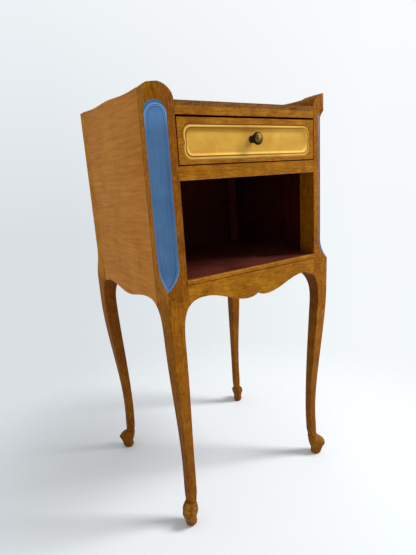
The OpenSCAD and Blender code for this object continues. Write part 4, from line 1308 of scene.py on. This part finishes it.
@dataclass
class Legwork:
    """The four posts with their legs, feet and painted recesses."""

    case: Case
    front_leg: Leg = field(default_factory=lambda: Leg(17.3, (1.2, 2.6, 1.2, 5.6)))
    rear_leg: Leg = field(default_factory=lambda: Leg(16.5, (4.0, 1.6, 4.0, 1.6)))
    foot: ScrollFoot = field(default_factory=ScrollFoot)
    sweep: Place = (18.5, 17.0)
    knee_thick: Place = (28.0, 26.0)
    knee_slant: float = 3.2
    rear_knee_thick: Place = (26.5, 26.5)
    rear_sweep_side: float = 18.0
    rear_ankle_out: float = 2.5
    rear_knee_out: float = 17.0
    rear_knee_side: float = 1.0
    arch_width: Place = (33.0, 36.0)
    crown_z: float = 434.0
    knee_z: float = 400.0
    rear_knee_z: float = 380.0
    rear_width: float = 35.5
    rear_hip: Place = (427.0, 491.0)
    rear_ear: Place = (25.0, 1.0)
    # Painted shade that darkens and dulls the right recess's blue.
    right_blue_painted_shade: float = -1.3
    bare_z: float = 725.0
    ease: float = 0.0005
    weld: float = 0.00001
    sharp_angle: float = 35.0
    case_rise: Place = (400.0, 470.0)
    leg_fall: Place = (390.0, 60.0)
    arch_rise: Place = (100.0, 430.0)
    # Painted light on the sides and canted faces, painted shade on the left front, the inner faces and under
    # the arch; the rear posts' side light also brings them to the veneer's tone.
    side_painted_light_and_tone: Place = (1.0, 2.0)
    front_painted_shade: float = 0.65
    cant_painted_light: float = 3.0
    inner_painted_shade: float = 0.35
    leg_dark: float = 0.8
    arch_painted_shade: float = 1.1

    @property
    def slant(self) -> Slant:
        """The slanted side face of a front knee."""
        return Slant(self.knee_slant, self.case.post_back - self.case.front)

    def front_post(self) -> Post:
        """Works out the front post.

        Returns:
            Its sizes.
        """
        out = (self.case.half_width, -self.case.front)
        post_in = (self.case.post_in, -self.case.post_back)
        crown = (post_in[0] - self.arch_width[0], post_in[1] - self.arch_width[1])
        ankle = (out[0] - self.sweep[0], out[1] - self.sweep[1])
        return Post(self.case, self.front_leg, post_in, out, ankle, out, (self.knee_z, self.knee_z),
                    self.knee_thick, crown, self.crown_z, self.slant)

    def rear_post(self) -> Post:
        """Works out the rear post.

        Returns:
            Its sizes.
        """
        out = (self.case.half_width, self.case.rear)
        post_in = (self.case.half_width - self.rear_width, self.case.rear_post_front)
        crown = (post_in[0] - self.arch_width[0], post_in[1] - self.arch_width[1])
        ankle = (out[0] - self.rear_sweep_side, out[1] + self.rear_ankle_out)
        knee = (out[0] + self.rear_knee_side, out[1] + self.rear_knee_out)
        return Post(self.case, self.rear_leg, post_in, out, ankle, knee,
                    (self.rear_knee_z, self.rear_knee_z), self.rear_knee_thick, crown, self.crown_z,
                    Slant(0.0, out[1] - post_in[1]), hip=self.rear_hip, ear_width=self.rear_ear[0],
                    ear_top=self.case.gallery(self.case.rear_post_front) + 1, ear_slope=self.rear_ear[1])

    def build(self) -> None:
        """Builds and dresses all four posts."""
        cant = CantedCorner(self.case, self.slant)
        front, rear = self.front_post(), self.rear_post()
        carved = front.blank("front_post_pattern")
        Mesher.cut(carved, cant.recess())
        plain = rear.blank("rear_post_pattern")
        Mesher.settle(plain)
        for quarter in Quarter:
            post, pattern = (front, carved) if quarter.front else (rear, plain)
            name = f"{quarter.label}_post"
            piece = self._mirrored(pattern, quarter, f"{name}_carved")
            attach(piece, CABINET)
            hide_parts(name)
            foot = self.foot.build(quarter, [
                ankle + post.leg.toe_kick / 2 - post.leg.ankle / 2 for ankle in post.ankle])
            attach(foot, CABINET)
            if quarter.front:
                panel = cant.panel(quarter, self._blue_painted_shade(quarter))
                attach(panel, CABINET)
            log.info("%s: %d faces, foot %d faces", name, len(piece.data.polygons), len(foot.data.polygons))
        for pattern in (carved, plain):
            bpy.data.objects.remove(pattern, do_unlink=True)

    def _blue_painted_shade(self, quarter: Quarter) -> float:
        """Returns the painted shade of a recess: the right one is painted darker and duller."""
        return self.right_blue_painted_shade if quarter.side > 0 else 0.0

    def _shade(self, quarter: Quarter, face: bmesh.types.BMFace) -> float:
        """Finds how light or dark a face of a post is.

        It has painted shade under the arch, on its inner faces and on the left front, and painted light on
        its sides and the left front's canted faces; the rear posts' sides are also lightened towards the
        veneer's tone. It is darker to the foot.

        Args:
            quarter: The post's corner.
            face: The face, in metres.

        Returns:
            The shade, from about -1 to 1.
        """
        if face.material_index:
            return self._blue_painted_shade(quarter)
        height = face.calc_center_median().z / MM
        on_case = rise(height, *self.case_rise)
        side = face.normal.x * quarter.side
        out = max(0.0, side) ** 2
        front = max(0.0, -face.normal.y) ** 2 if quarter is Quarter.LEFT_FRONT else 0.0
        within = min(side, face.normal.y * quarter.value[1])
        arch = (1 - on_case) * rise(height, *self.arch_rise) * (
            max(0.0, -within) ** 2 + max(0.0, -face.normal.z))
        case_painted_light_and_shade = ((self.side_painted_light_and_tone[0 if quarter.front else 1] + self.cant_painted_light * front) * out
                     - self.front_painted_shade * front - self.inner_painted_shade * max(0.0, -side) ** 2)
        leg_tone = self.leg_dark * rise(height, *self.leg_fall)
        return on_case * case_painted_light_and_shade - leg_tone - self.arch_painted_shade * arch

    def _mirrored(self, pattern: bpy.types.Object, quarter: Quarter, name: str) -> bpy.types.Object:
        """Copies a pattern to its corner, with its edges eased.

        Args:
            pattern: The post of the right rear quarter.
            quarter: The corner.
            name: The new piece's name.

        Returns:
            The new piece.
        """
        mesh = bmesh.new()
        mesh.from_mesh(pattern.data)
        bmesh.ops.remove_doubles(mesh, verts=mesh.verts, dist=self.weld)
        Mesher.ease_edges(mesh, self.ease, self.sharp_angle)
        bmesh.ops.transform(mesh, matrix=quarter.mirror(), verts=mesh.verts)
        bmesh.ops.recalc_face_normals(mesh, faces=mesh.faces)
        shade = mesh.faces.layers.float.new("shade")
        for face in mesh.faces:
            if quarter.side > 0 and face.calc_center_median().z > self.bare_z * MM:
                face.material_index = 0
            face[shade] = self._shade(quarter, face)
        materials = list(pattern.data.materials)
        # Front posts get painted shade on their inner faces beside the drawer, for its gap; rear posts are
        # stained inside the niche.
        if quarter.front:
            low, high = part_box("drawer_front")
            Mesher.darken(mesh, lambda face: low[2] < face.calc_center_median().z < high[2]
                          and face.normal.x * quarter.side < -FACING)
        else:
            Mesher.stain_inside(mesh, self.case.niche_floor * MM, self.case.top * MM, len(materials))
            materials.append(Finish.NICHE_POST.material)
        return Mesher.piece(mesh, name, materials, SMOOTH_ANGLE)


@dataclass
class Joinery:
    """Boards and rails: the frame's own solids, with eased edges where they show."""

    case: Case
    eased: Sequence[tuple[Sequence[str], Finish, str, str]] = (
        (("left_side_panel", "right_side_panel"), Finish.SIDE, CABINET, "side_veneer"),
        (("top_board",), Finish.TOP, CABINET, "polished_beech"),
        (("top_front_rail", "drawer_rail", "front_apron", "floor_lipping"), Finish.RAIL, CABINET,
         "polished_beech"),
        (("niche_floor",), Finish.NICHE, CABINET, "niche_stain"),
        (("back_gallery_rail",), Finish.RAIL, CABINET, "polished_beech"),
        (("back_panel",), Finish.BACK, CABINET, "inner_wood"),
        (("back_bottom_rail",), Finish.BARE_WIDE, CABINET, "inner_wood"),
        (("drawer_front",), Finish.RAIL, DRAWER, "drawer_panel"),
        (("drawer_left_side", "drawer_right_side"), Finish.BARE_LONG, DRAWER, "inner_wood"),
        (("drawer_back",), Finish.BARE_WIDE, DRAWER, "inner_wood"))
    kept: Sequence[tuple[Sequence[str], Finish]] = (
        (("niche_ceiling",), Finish.NICHE),
        (("left_drawer_runner", "right_drawer_runner", "left_drawer_guide", "right_drawer_guide",
          "left_kicker", "right_kicker", "left_floor_cleat", "right_floor_cleat"), Finish.BARE_LONG),
        (("corner_blocks", "drawer_stops", "drawer_bottom"), Finish.BARE_WIDE),
        (("top_board_screws", "runner_screws", "cleat_screws", "drawer_bottom_screws", "knob_screw"),
         Finish.STEEL))
    lined: Sequence[str] = ("left_side_panel", "right_side_panel", "back_panel")
    # The sides of each node whose gap to a neighbour gets painted shade.
    joints: dict[str, Sequence[tuple[int, int]]] = field(default_factory=lambda: {
        "drawer_front": ((0, -1), (0, 1), (2, -1), (2, 1)),
        "floor_lipping": ((2, -1),),
        "front_apron": ((2, 1),),
        "drawer_rail": ((2, 1),),
        "top_front_rail": ((2, -1),),
    })
    ease: float = 0.0006
    weld: float = 0.000004
    flat_angle: float = 0.4
    sharp_angle: float = 28.0
    smooth_angle: float = 30.0

    def build(self) -> None:
        """Builds the eased boards and dresses the frame's own pieces."""
        for nodes, finish, body, slot in self.eased:
            for node in nodes:
                piece = self.eased_copy(node, finish)
                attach(piece, body)
                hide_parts(node)
                log.info("%s: %d faces", piece.name, len(piece.data.polygons))
        for nodes, finish in self.kept:
            for node in nodes:
                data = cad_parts[node].data
                data.materials.clear()
                data.materials.append(finish.material)
                log.info("%s: finished as %s", node, finish.value.name)

    def eased_copy(self, node: str, finish: Finish) -> bpy.types.Object:
        """Copies a node, with flat faces joined and sharp edges eased.

        Args:
            node: The node's name.
            finish: What its surface is.

        Returns:
            The new piece.
        """
        mesh = bmesh.new()
        mesh.from_mesh(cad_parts[node].data)
        bmesh.ops.remove_doubles(mesh, verts=mesh.verts, dist=self.weld)
        bmesh.ops.dissolve_limit(mesh, angle_limit=math.radians(self.flat_angle), verts=mesh.verts,
                                 edges=mesh.edges)
        Mesher.ease_edges(mesh, self.ease, self.sharp_angle)
        self._darken_joints(mesh, node)
        materials = [finish.material]
        if node in self.lined:
            Mesher.stain_inside(mesh, self.case.apron_top * MM, self.case.top * MM, len(materials))
            materials.append(Finish.NICHE_WALL.material)
        return Mesher.piece(mesh, f"{node}_eased", materials, self.smooth_angle)

    def _darken_joints(self, mesh: bmesh.types.BMesh, node: str) -> None:
        """Paints shade on a node where it meets its neighbours, in the gap of an open joint.

        Args:
            mesh: The node's eased copy.
            node: The node's name.
        """
        low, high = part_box(node)
        mesh.faces.layers.float.new("shade")
        mesh.normal_update()
        for axis, way in self.joints.get(node, ()):
            end = high[axis] if way > 0 else low[axis]
            Mesher.darken(mesh, lambda face: face.normal[axis] * way > FACING
                          and abs(face.calc_center_median()[axis] - end) < 2 * self.ease)


@dataclass(frozen=True)
class MouldRow:
    """One ring of the drawer's moulding: its inset, depth and relief, and the light and shade painted on it
    at the top, bottom, left and right sides.
    """

    inset: float
    depth: float
    relief: float = 0.0
    top: float = 0.0
    bottom: float = 0.0
    left: float = 0.0
    right: float = 0.0


@dataclass
class DrawerPanel:
    """The painted moulding and field sunk into the drawer front, in millimetres."""

    case: Case
    width: float = 265.8
    height: float = 51.0
    corner: float = 13.0
    corner_shrink: float = 0.5
    least_corner: float = 3.0
    cusp: float = 2.2
    cusp_half: float = 9.0
    middle_x: float = -0.9
    middle_z: float = 679.1
    recess_width: float = 268.0
    recess_z: float = 680.0
    recess_reach: Point = (135.5, 4.1, 27.0)
    end_from: float = 0.42
    end_blend: float = 0.06
    end_relief: float = 0.6
    steps: int = 40
    # The rows paint shade into the cove under the top bead and a dark line above it, a highlight on the cove
    # over the bottom bead and light at the right end, and paint the field lighter at the top to even out its
    # light; the relief colours are partly painted too.
    profile: Sequence[MouldRow] = (
        MouldRow(11.5, -3.98), MouldRow(7.05, -3.98), MouldRow(7.02, -1.18), MouldRow(0.08, -1.18, -1.0),
        MouldRow(0.08, -0.04, -1.0, -1.9, 0.0, 0.9, 0.9), MouldRow(-1.6, -0.04, -1.0, -1.9, 0.0, 0.9, 0.9),
        MouldRow(-1.55, 0.04, -1.0, -1.9, 0.0, 0.9, 0.9), MouldRow(0.0, 0.05, -1.0, -1.9, 0.0, 0.9, 0.9),
        MouldRow(0.15, 0.35, 0.5, -0.4, -0.3, -0.5), MouldRow(0.6, 0.7, 0.9, 0.0, -0.3, -0.5, -0.3),
        MouldRow(1.3, 0.85, 1.0, 0.0, -0.3, -0.5, -0.3), MouldRow(2.1, 0.78, 1.0, 0.0, -0.3, -0.5, -0.3),
        MouldRow(2.9, 0.45, 0.5, -0.1, -0.5, -0.5, 0.0), MouldRow(3.4, 0.0, -0.6, -0.3, -0.7, -0.1, 0.8),
        MouldRow(4.1, -0.3, -1.0, -0.4, -0.8, 0.0, 1.0), MouldRow(4.9, -0.3, -1.0, -0.6, -0.8, 0.0, 1.2),
        MouldRow(5.5, -0.25, -0.3, -1.0, 0.3, -0.4, 1.4), MouldRow(6.1, -0.45, 0.1, -1.15, 1.4, -0.6, 1.2),
        MouldRow(7.0, -1.0, 0.2, -1.1, 1.6, -0.6, 1.2), MouldRow(8.0, -1.8, 0.1, -0.9, 1.4, -0.5, 1.2),
        MouldRow(8.9, -2.4, 0.0, -0.7, 0.7, -0.2, 0.9), MouldRow(9.8, -2.58, 0.0, -0.5, 0.2, -0.1, 0.5),
        MouldRow(11.5, -2.6, 0.0, -0.1, -0.05), MouldRow(14.0, -2.6, 0.0, 0.12, -0.05, 0.0, -0.2))

    def ring(self, row: MouldRow) -> list[Point]:
        """Draws the panel's outline as one row of the moulding has it.

        Args:
            row: The row.

        Returns:
            The ring's points, up the right side and down the left.
        """
        wide = self.width / 2 - row.inset
        high = self.height / 2 - row.inset
        corner = max(self.corner - self.corner_shrink * row.inset, self.least_corner)
        cusp = self.cusp * max(0.0, 1 - max(0.0, row.inset) / self.cusp_half)
        sides = []
        for step in range(self.steps + 1):
            up = high * math.sin(math.radians(-90 + 180 * step / self.steps))
            past = max(0.0, abs(up) - (high - corner))
            round_off = corner - math.sqrt(max(0.0, corner ** 2 - past ** 2))
            nick = cusp * max(0.0, 1 - abs(up) / self.cusp_half) ** 2
            sides.append((wide - round_off - nick, up))
        whole = sides + [(-out, up) for out, up in reversed(sides)]
        return [(self.middle_x + out, self.case.front - row.depth, self.middle_z + up) for out, up in whole]

    def fit_recess(self) -> None:
        """Moves the eased drawer front's recess under the panel, which lies a little low and to the left."""
        wide, deep, high = self.recess_reach
        for vert in bpy.data.objects["drawer_front_eased"].data.vertices:
            along, depth, height = vert.co / MM
            if abs(along) < wide and abs(height - self.recess_z) < high and depth < self.case.front + deep:
                vert.co.x = (self.middle_x + along * self.width / self.recess_width) * MM
                vert.co.z += (self.middle_z - self.recess_z) * MM

    def _dress(self, row: MouldRow, point: Point) -> Place:
        """Finds a ring's relief and painted light and shade at a point.

        Args:
            row: The ring.
            point: The point on it.

        Returns:
            The relief, fainter at the right end, and the painted shade, blended between the ring's four.
        """
        up = 0.5 + (point[2] - self.middle_z) / self.height
        past = [side * (point[0] - self.middle_x) / self.width - self.end_from for side in (1, -1)]
        right, left = (min(1.0, max(0.0, part) / self.end_blend) for part in past)
        return (row.relief * (1 - self.end_relief * right if row.inset > 0 else 1.0),
                row.top * up + row.bottom * (1 - up) + row.left * left + row.right * right)

    def build(self) -> None:
        """Builds the panel as one closed shell."""
        self.fit_recess()
        mesh = bmesh.new()
        relief, shade = (mesh.verts.layers.float.new(name) for name in ("relief", "shade"))
        face = mesh.faces.new([mesh.verts.new(point) for point in self.ring(self.profile[0])])
        bmesh.ops.duplicate(mesh, geom=[face])
        for row in self.profile:
            face = bmesh.ops.extrude_discrete_faces(mesh, faces=[face])["faces"][0]
            for vert, point in zip(face.verts, self.ring(row)):
                vert.co = point
                vert[relief], vert[shade] = self._dress(row, point)
        bmesh.ops.remove_doubles(mesh, verts=mesh.verts, dist=WELD)
        piece = Mesher.finish(mesh, "drawer_painted_panel", Finish.OCHRE, 40.0)
        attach(piece, DRAWER)
        log.info("%s: %d faces", piece.name, len(piece.data.polygons))


@dataclass
class TurnedKnob:
    """The brass knob and its rosette, turned on one axis, in millimetres."""

    case: Case
    field_depth: float = 4.0
    rosette_height: float = 2.5
    segments: int = 72
    rosette: Sequence[Point] = (
        (0.0, 0.0, -0.8), (5.9, 0.0, -0.8), (6.2, 0.4, -0.6), (6.2, 1.2, -0.4), (5.9, 1.8, -0.2),
        (5.6, 1.9, -0.8), (5.3, 2.2, -0.6), (5.0, 2.5, -0.5), (0.0, 2.5, -0.5))
    # The knob's relief darkens its neck with patina, paints shade on the head's rim and a highlight on its
    # dome; the rosette's relief keeps it dark.
    knob: Sequence[Point] = (
        (0.0, 0.0, -0.6), (4.8, 0.0, -0.6), (5.4, 0.8, -0.3), (6.0, 1.9, -0.1), (6.4, 3.2, 0.0),
        (6.3, 4.5, -0.1), (5.6, 5.6, -0.3), (4.5, 6.3, -0.6), (3.7, 7.0, -0.8), (3.5, 8.2, -0.8),
        (3.8, 9.6, -0.7), (4.9, 10.8, -0.6), (6.6, 11.6, -0.7), (8.4, 12.2, -0.7), (9.7, 13.0, -0.7),
        (10.3, 13.9, -0.7), (10.45, 14.8, -0.7), (10.1, 15.8, -0.6), (9.2, 16.8, -0.4), (7.9, 17.6, -0.1),
        (6.4, 18.2, 0.2), (5.0, 18.5, 0.2), (4.3, 18.5, 0.0), (3.8, 18.6, 0.0), (3.1, 18.95, 0.3),
        (2.0, 19.3, 0.5), (1.0, 19.5, 0.5), (0.0, 19.5, 0.5))

    @property
    def axis_z(self) -> float:
        """The height of the knob's axis, read from the frame."""
        low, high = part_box("knob")
        return (low[2] + high[2]) / 2 / MM

    def build(self) -> None:
        """Builds the rosette, and the knob on it."""
        back = self.case.front + self.field_depth
        for name, profile, start in (("knob_rosette", self.rosette, back),
                                     ("knob", self.knob, back - self.rosette_height)):
            piece = self.turned(f"{name}_turned", profile, start)
            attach(piece, DRAWER)
            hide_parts(name)
            log.info("%s: %d faces", piece.name, len(piece.data.polygons))

    def turned(self, name: str, profile: Sequence[Point], start: float) -> bpy.types.Object:
        """Turns a profile round the knob's axis.

        Args:
            name: The new piece's name.
            profile: The radius, the reach to the front and the relief of each point.
            start: Where the reach is 0.

        Returns:
            The new piece.
        """
        mesh = bmesh.new()
        relief = mesh.verts.layers.float.new("relief")
        verts = []
        for radius, reach, tone in profile:
            verts.append(mesh.verts.new((radius, start - reach, self.axis_z)))
            verts[-1][relief] = tone
        Mesher.spun(mesh, verts, (0, start, self.axis_z), self.segments)
        return Mesher.finish(mesh, name, Finish.BRASS, 50.0)


@dataclass
class Studio:
    """The camera, the pale floor and the soft lights."""

    eye: Point = (-0.46543, -0.720732, 0.62548)
    yaw: float = 32.547
    pitch: float = 13.517
    roll: float = -3.758
    focal_px: float = 414.905
    picture: tuple[int, int] = (416, 555)
    sensor: float = 36.0
    floor_size: float = 14.0
    paper: Colour = srgb(247, 252, 255)
    # The background's corner colours: the darker left ones are painted shade.
    low_left: Colour = srgb(217, 223, 227)
    low_right: Colour = srgb(245, 249, 251)
    top_left: Colour = srgb(238, 243, 246)
    top_right: Colour = srgb(251, 252, 254)
    backdrop_axis: Point = (0.843, -0.538, 0.0)
    backdrop_spans: tuple[Place, Place] = ((-0.30, 0.35), (-0.10, 0.36))
    floor_fade: Place = (0.22, 0.75)
    fill: float = 0.5
    fill_colour: Colour = (0.96, 0.98, 1.0)
    key_angles: Place = (-35.0, 47.0)
    key_distance: float = 3.6
    key_target: Point = (0.0, 0.0, 0.3)
    key_size: Place = (0.8, 2.3)
    key_watts: float = 97.0
    key_colour: Colour = (1.0, 0.99, 0.98)

    def camera(self) -> None:
        """Sets the camera where the photograph's edges meet the model's."""
        yaw, pitch, roll = (math.radians(angle) for angle in (self.yaw, self.pitch, self.roll))
        ahead_flat = Vector((math.sin(yaw), math.cos(yaw), 0))
        right_flat = Vector((math.cos(yaw), -math.sin(yaw), 0))
        ahead = ahead_flat * math.cos(pitch) - Vector((0, 0, 1)) * math.sin(pitch)
        up_flat = Vector((0, 0, 1)) * math.cos(pitch) + ahead_flat * math.sin(pitch)
        right = right_flat * math.cos(roll) + up_flat * math.sin(roll)
        up = up_flat * math.cos(roll) - right_flat * math.sin(roll)
        data = bpy.data.cameras.new("photo_camera")
        data.sensor_width = self.sensor
        data.lens = self.focal_px / max(self.picture) * self.sensor
        data.clip_start = 0.01
        made = Mesher.link("photo_camera", data)
        made.matrix_world = Matrix.Translation(self.eye) @ Matrix((right, up, -ahead)).transposed().to_4x4()
        bpy.context.scene.camera = made

    def floor(self) -> None:
        """Lays the pale floor, which fades into the background far from the object."""
        mesh = bmesh.new()
        bmesh.ops.create_circle(mesh, cap_ends=True, segments=128, radius=self.floor_size)
        data = bpy.data.meshes.new("studio_floor")
        mesh.to_mesh(data)
        mesh.free()
        graph = Graph(bpy.data.materials.new("floor_paper"))
        graph.plug(graph.shader.inputs["Base Color"], self.paper)
        graph.shader.inputs["Roughness"].default_value = 0.9
        coordinates = graph.out("ShaderNodeTexCoord", {}, {}, "Object")
        reach = graph.out("ShaderNodeVectorMath", {"operation": "LENGTH"}, {0: coordinates}, "Value")
        seen = graph.out("ShaderNodeLightPath", {}, {}, "Is Camera Ray")
        mixed = graph.out("ShaderNodeMixShader", {}, {
            0: reach.ramp(*self.floor_fade) * seen, 1: Value(graph, graph.shader.outputs[0]),
            2: graph.out("ShaderNodeBsdfTransparent", {}, {})})
        graph.plug(graph.tree.nodes["Material Output"].inputs["Surface"], mixed)
        data.materials.append(graph.owner)
        Mesher.link("studio_floor", data)

    def light(self) -> None:
        """Hangs the one soft light, at the right."""
        azimuth, elevation = (math.radians(angle) for angle in self.key_angles)
        flat = math.cos(elevation) * self.key_distance
        place = Vector((math.cos(azimuth) * flat, math.sin(azimuth) * flat,
                        math.sin(elevation) * self.key_distance))
        data = bpy.data.lights.new("right_window", "AREA")
        data.shape = "RECTANGLE"
        data.size, data.size_y = self.key_size
        data.energy = self.key_watts
        data.color = self.key_colour
        toward = Vector(self.key_target) - place
        Mesher.link("right_window", data).matrix_world = Matrix.Translation(place) @ toward.to_track_quat(
            "-Z", "Y").to_matrix().to_4x4()

    def world(self) -> None:
        """Lights everything softly, and shows the camera a pale background, darker to the left with painted
        shade.
        """
        world = bpy.data.worlds.new("studio_world")
        bpy.context.scene.world = world
        graph = Graph(world)
        graph.tree.nodes.clear()
        path = graph.node("ShaderNodeLightPath", {}, {})
        camera, gloss, glass = (Value(graph, path.outputs[f"Is {kind} Ray"])
                                for kind in ("Camera", "Glossy", "Transmission"))
        rays = graph.maths("MAXIMUM", graph.maths("MAXIMUM", camera, gloss), glass)
        soft, seen = (graph.out("ShaderNodeBackground", {}, {"Color": colour, "Strength": strength})
                      for colour, strength in ((self.fill_colour, self.fill), (self._backdrop(graph), 1.0)))
        mixed = graph.out("ShaderNodeMixShader", {}, {0: rays, 1: soft, 2: seen})
        graph.node("ShaderNodeOutputWorld", {}, {"Surface": mixed})

    def _backdrop(self, graph: Graph) -> Value:
        """Blends the background from its four corners, by the direction of sight.

        Args:
            graph: The world's graph.

        Returns:
            The background's colour.
        """
        across, up = self.backdrop_spans
        low = self._blend(graph, self.backdrop_axis, across, (self.low_left, self.low_right))
        top = self._blend(graph, self.backdrop_axis, across, (self.top_left, self.top_right))
        return self._blend(graph, (0.0, 0.0, 1.0), up, (low, top))

    @staticmethod
    def _blend(graph: Graph, axis: Point, span: Place, colours: tuple[Entry, Entry]) -> Value:
        """Blends two colours along an axis of the direction of sight.

        Args:
            graph: The world's graph.
            axis: The axis.
            span: Where on it the first colour ends and the second begins.
            colours: The two colours.

        Returns:
            The blended colour.
        """
        sight = graph.out("ShaderNodeTexCoord", {}, {}, "Generated")
        along = graph.out("ShaderNodeVectorMath", {"operation": "DOT_PRODUCT"}, {0: sight, 1: axis}, "Value")
        part = graph.out("ShaderNodeMapRange", {}, {"Value": along, "From Min": span[0], "From Max": span[1]})
        return graph.mix(part, *colours)

    def build(self) -> None:
        """Sets up the whole studio."""
        bpy.context.scene.view_settings.view_transform = "Standard"
        self.camera()
        self.floor()
        self.world()
        self.light()


def main() -> None:
    """Builds the nightstand's looks on its frame."""
    logging.basicConfig(level=logging.INFO, format="%(name)s: %(message)s")
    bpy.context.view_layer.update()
    case = Case.from_frame()
    log.info("case planes: %s", case)
    Legwork(case).build()
    Joinery(case).build()
    DrawerPanel(case).build()
    TurnedKnob(case).build()
    Studio().build()


if __name__ == "__main__":
    main()
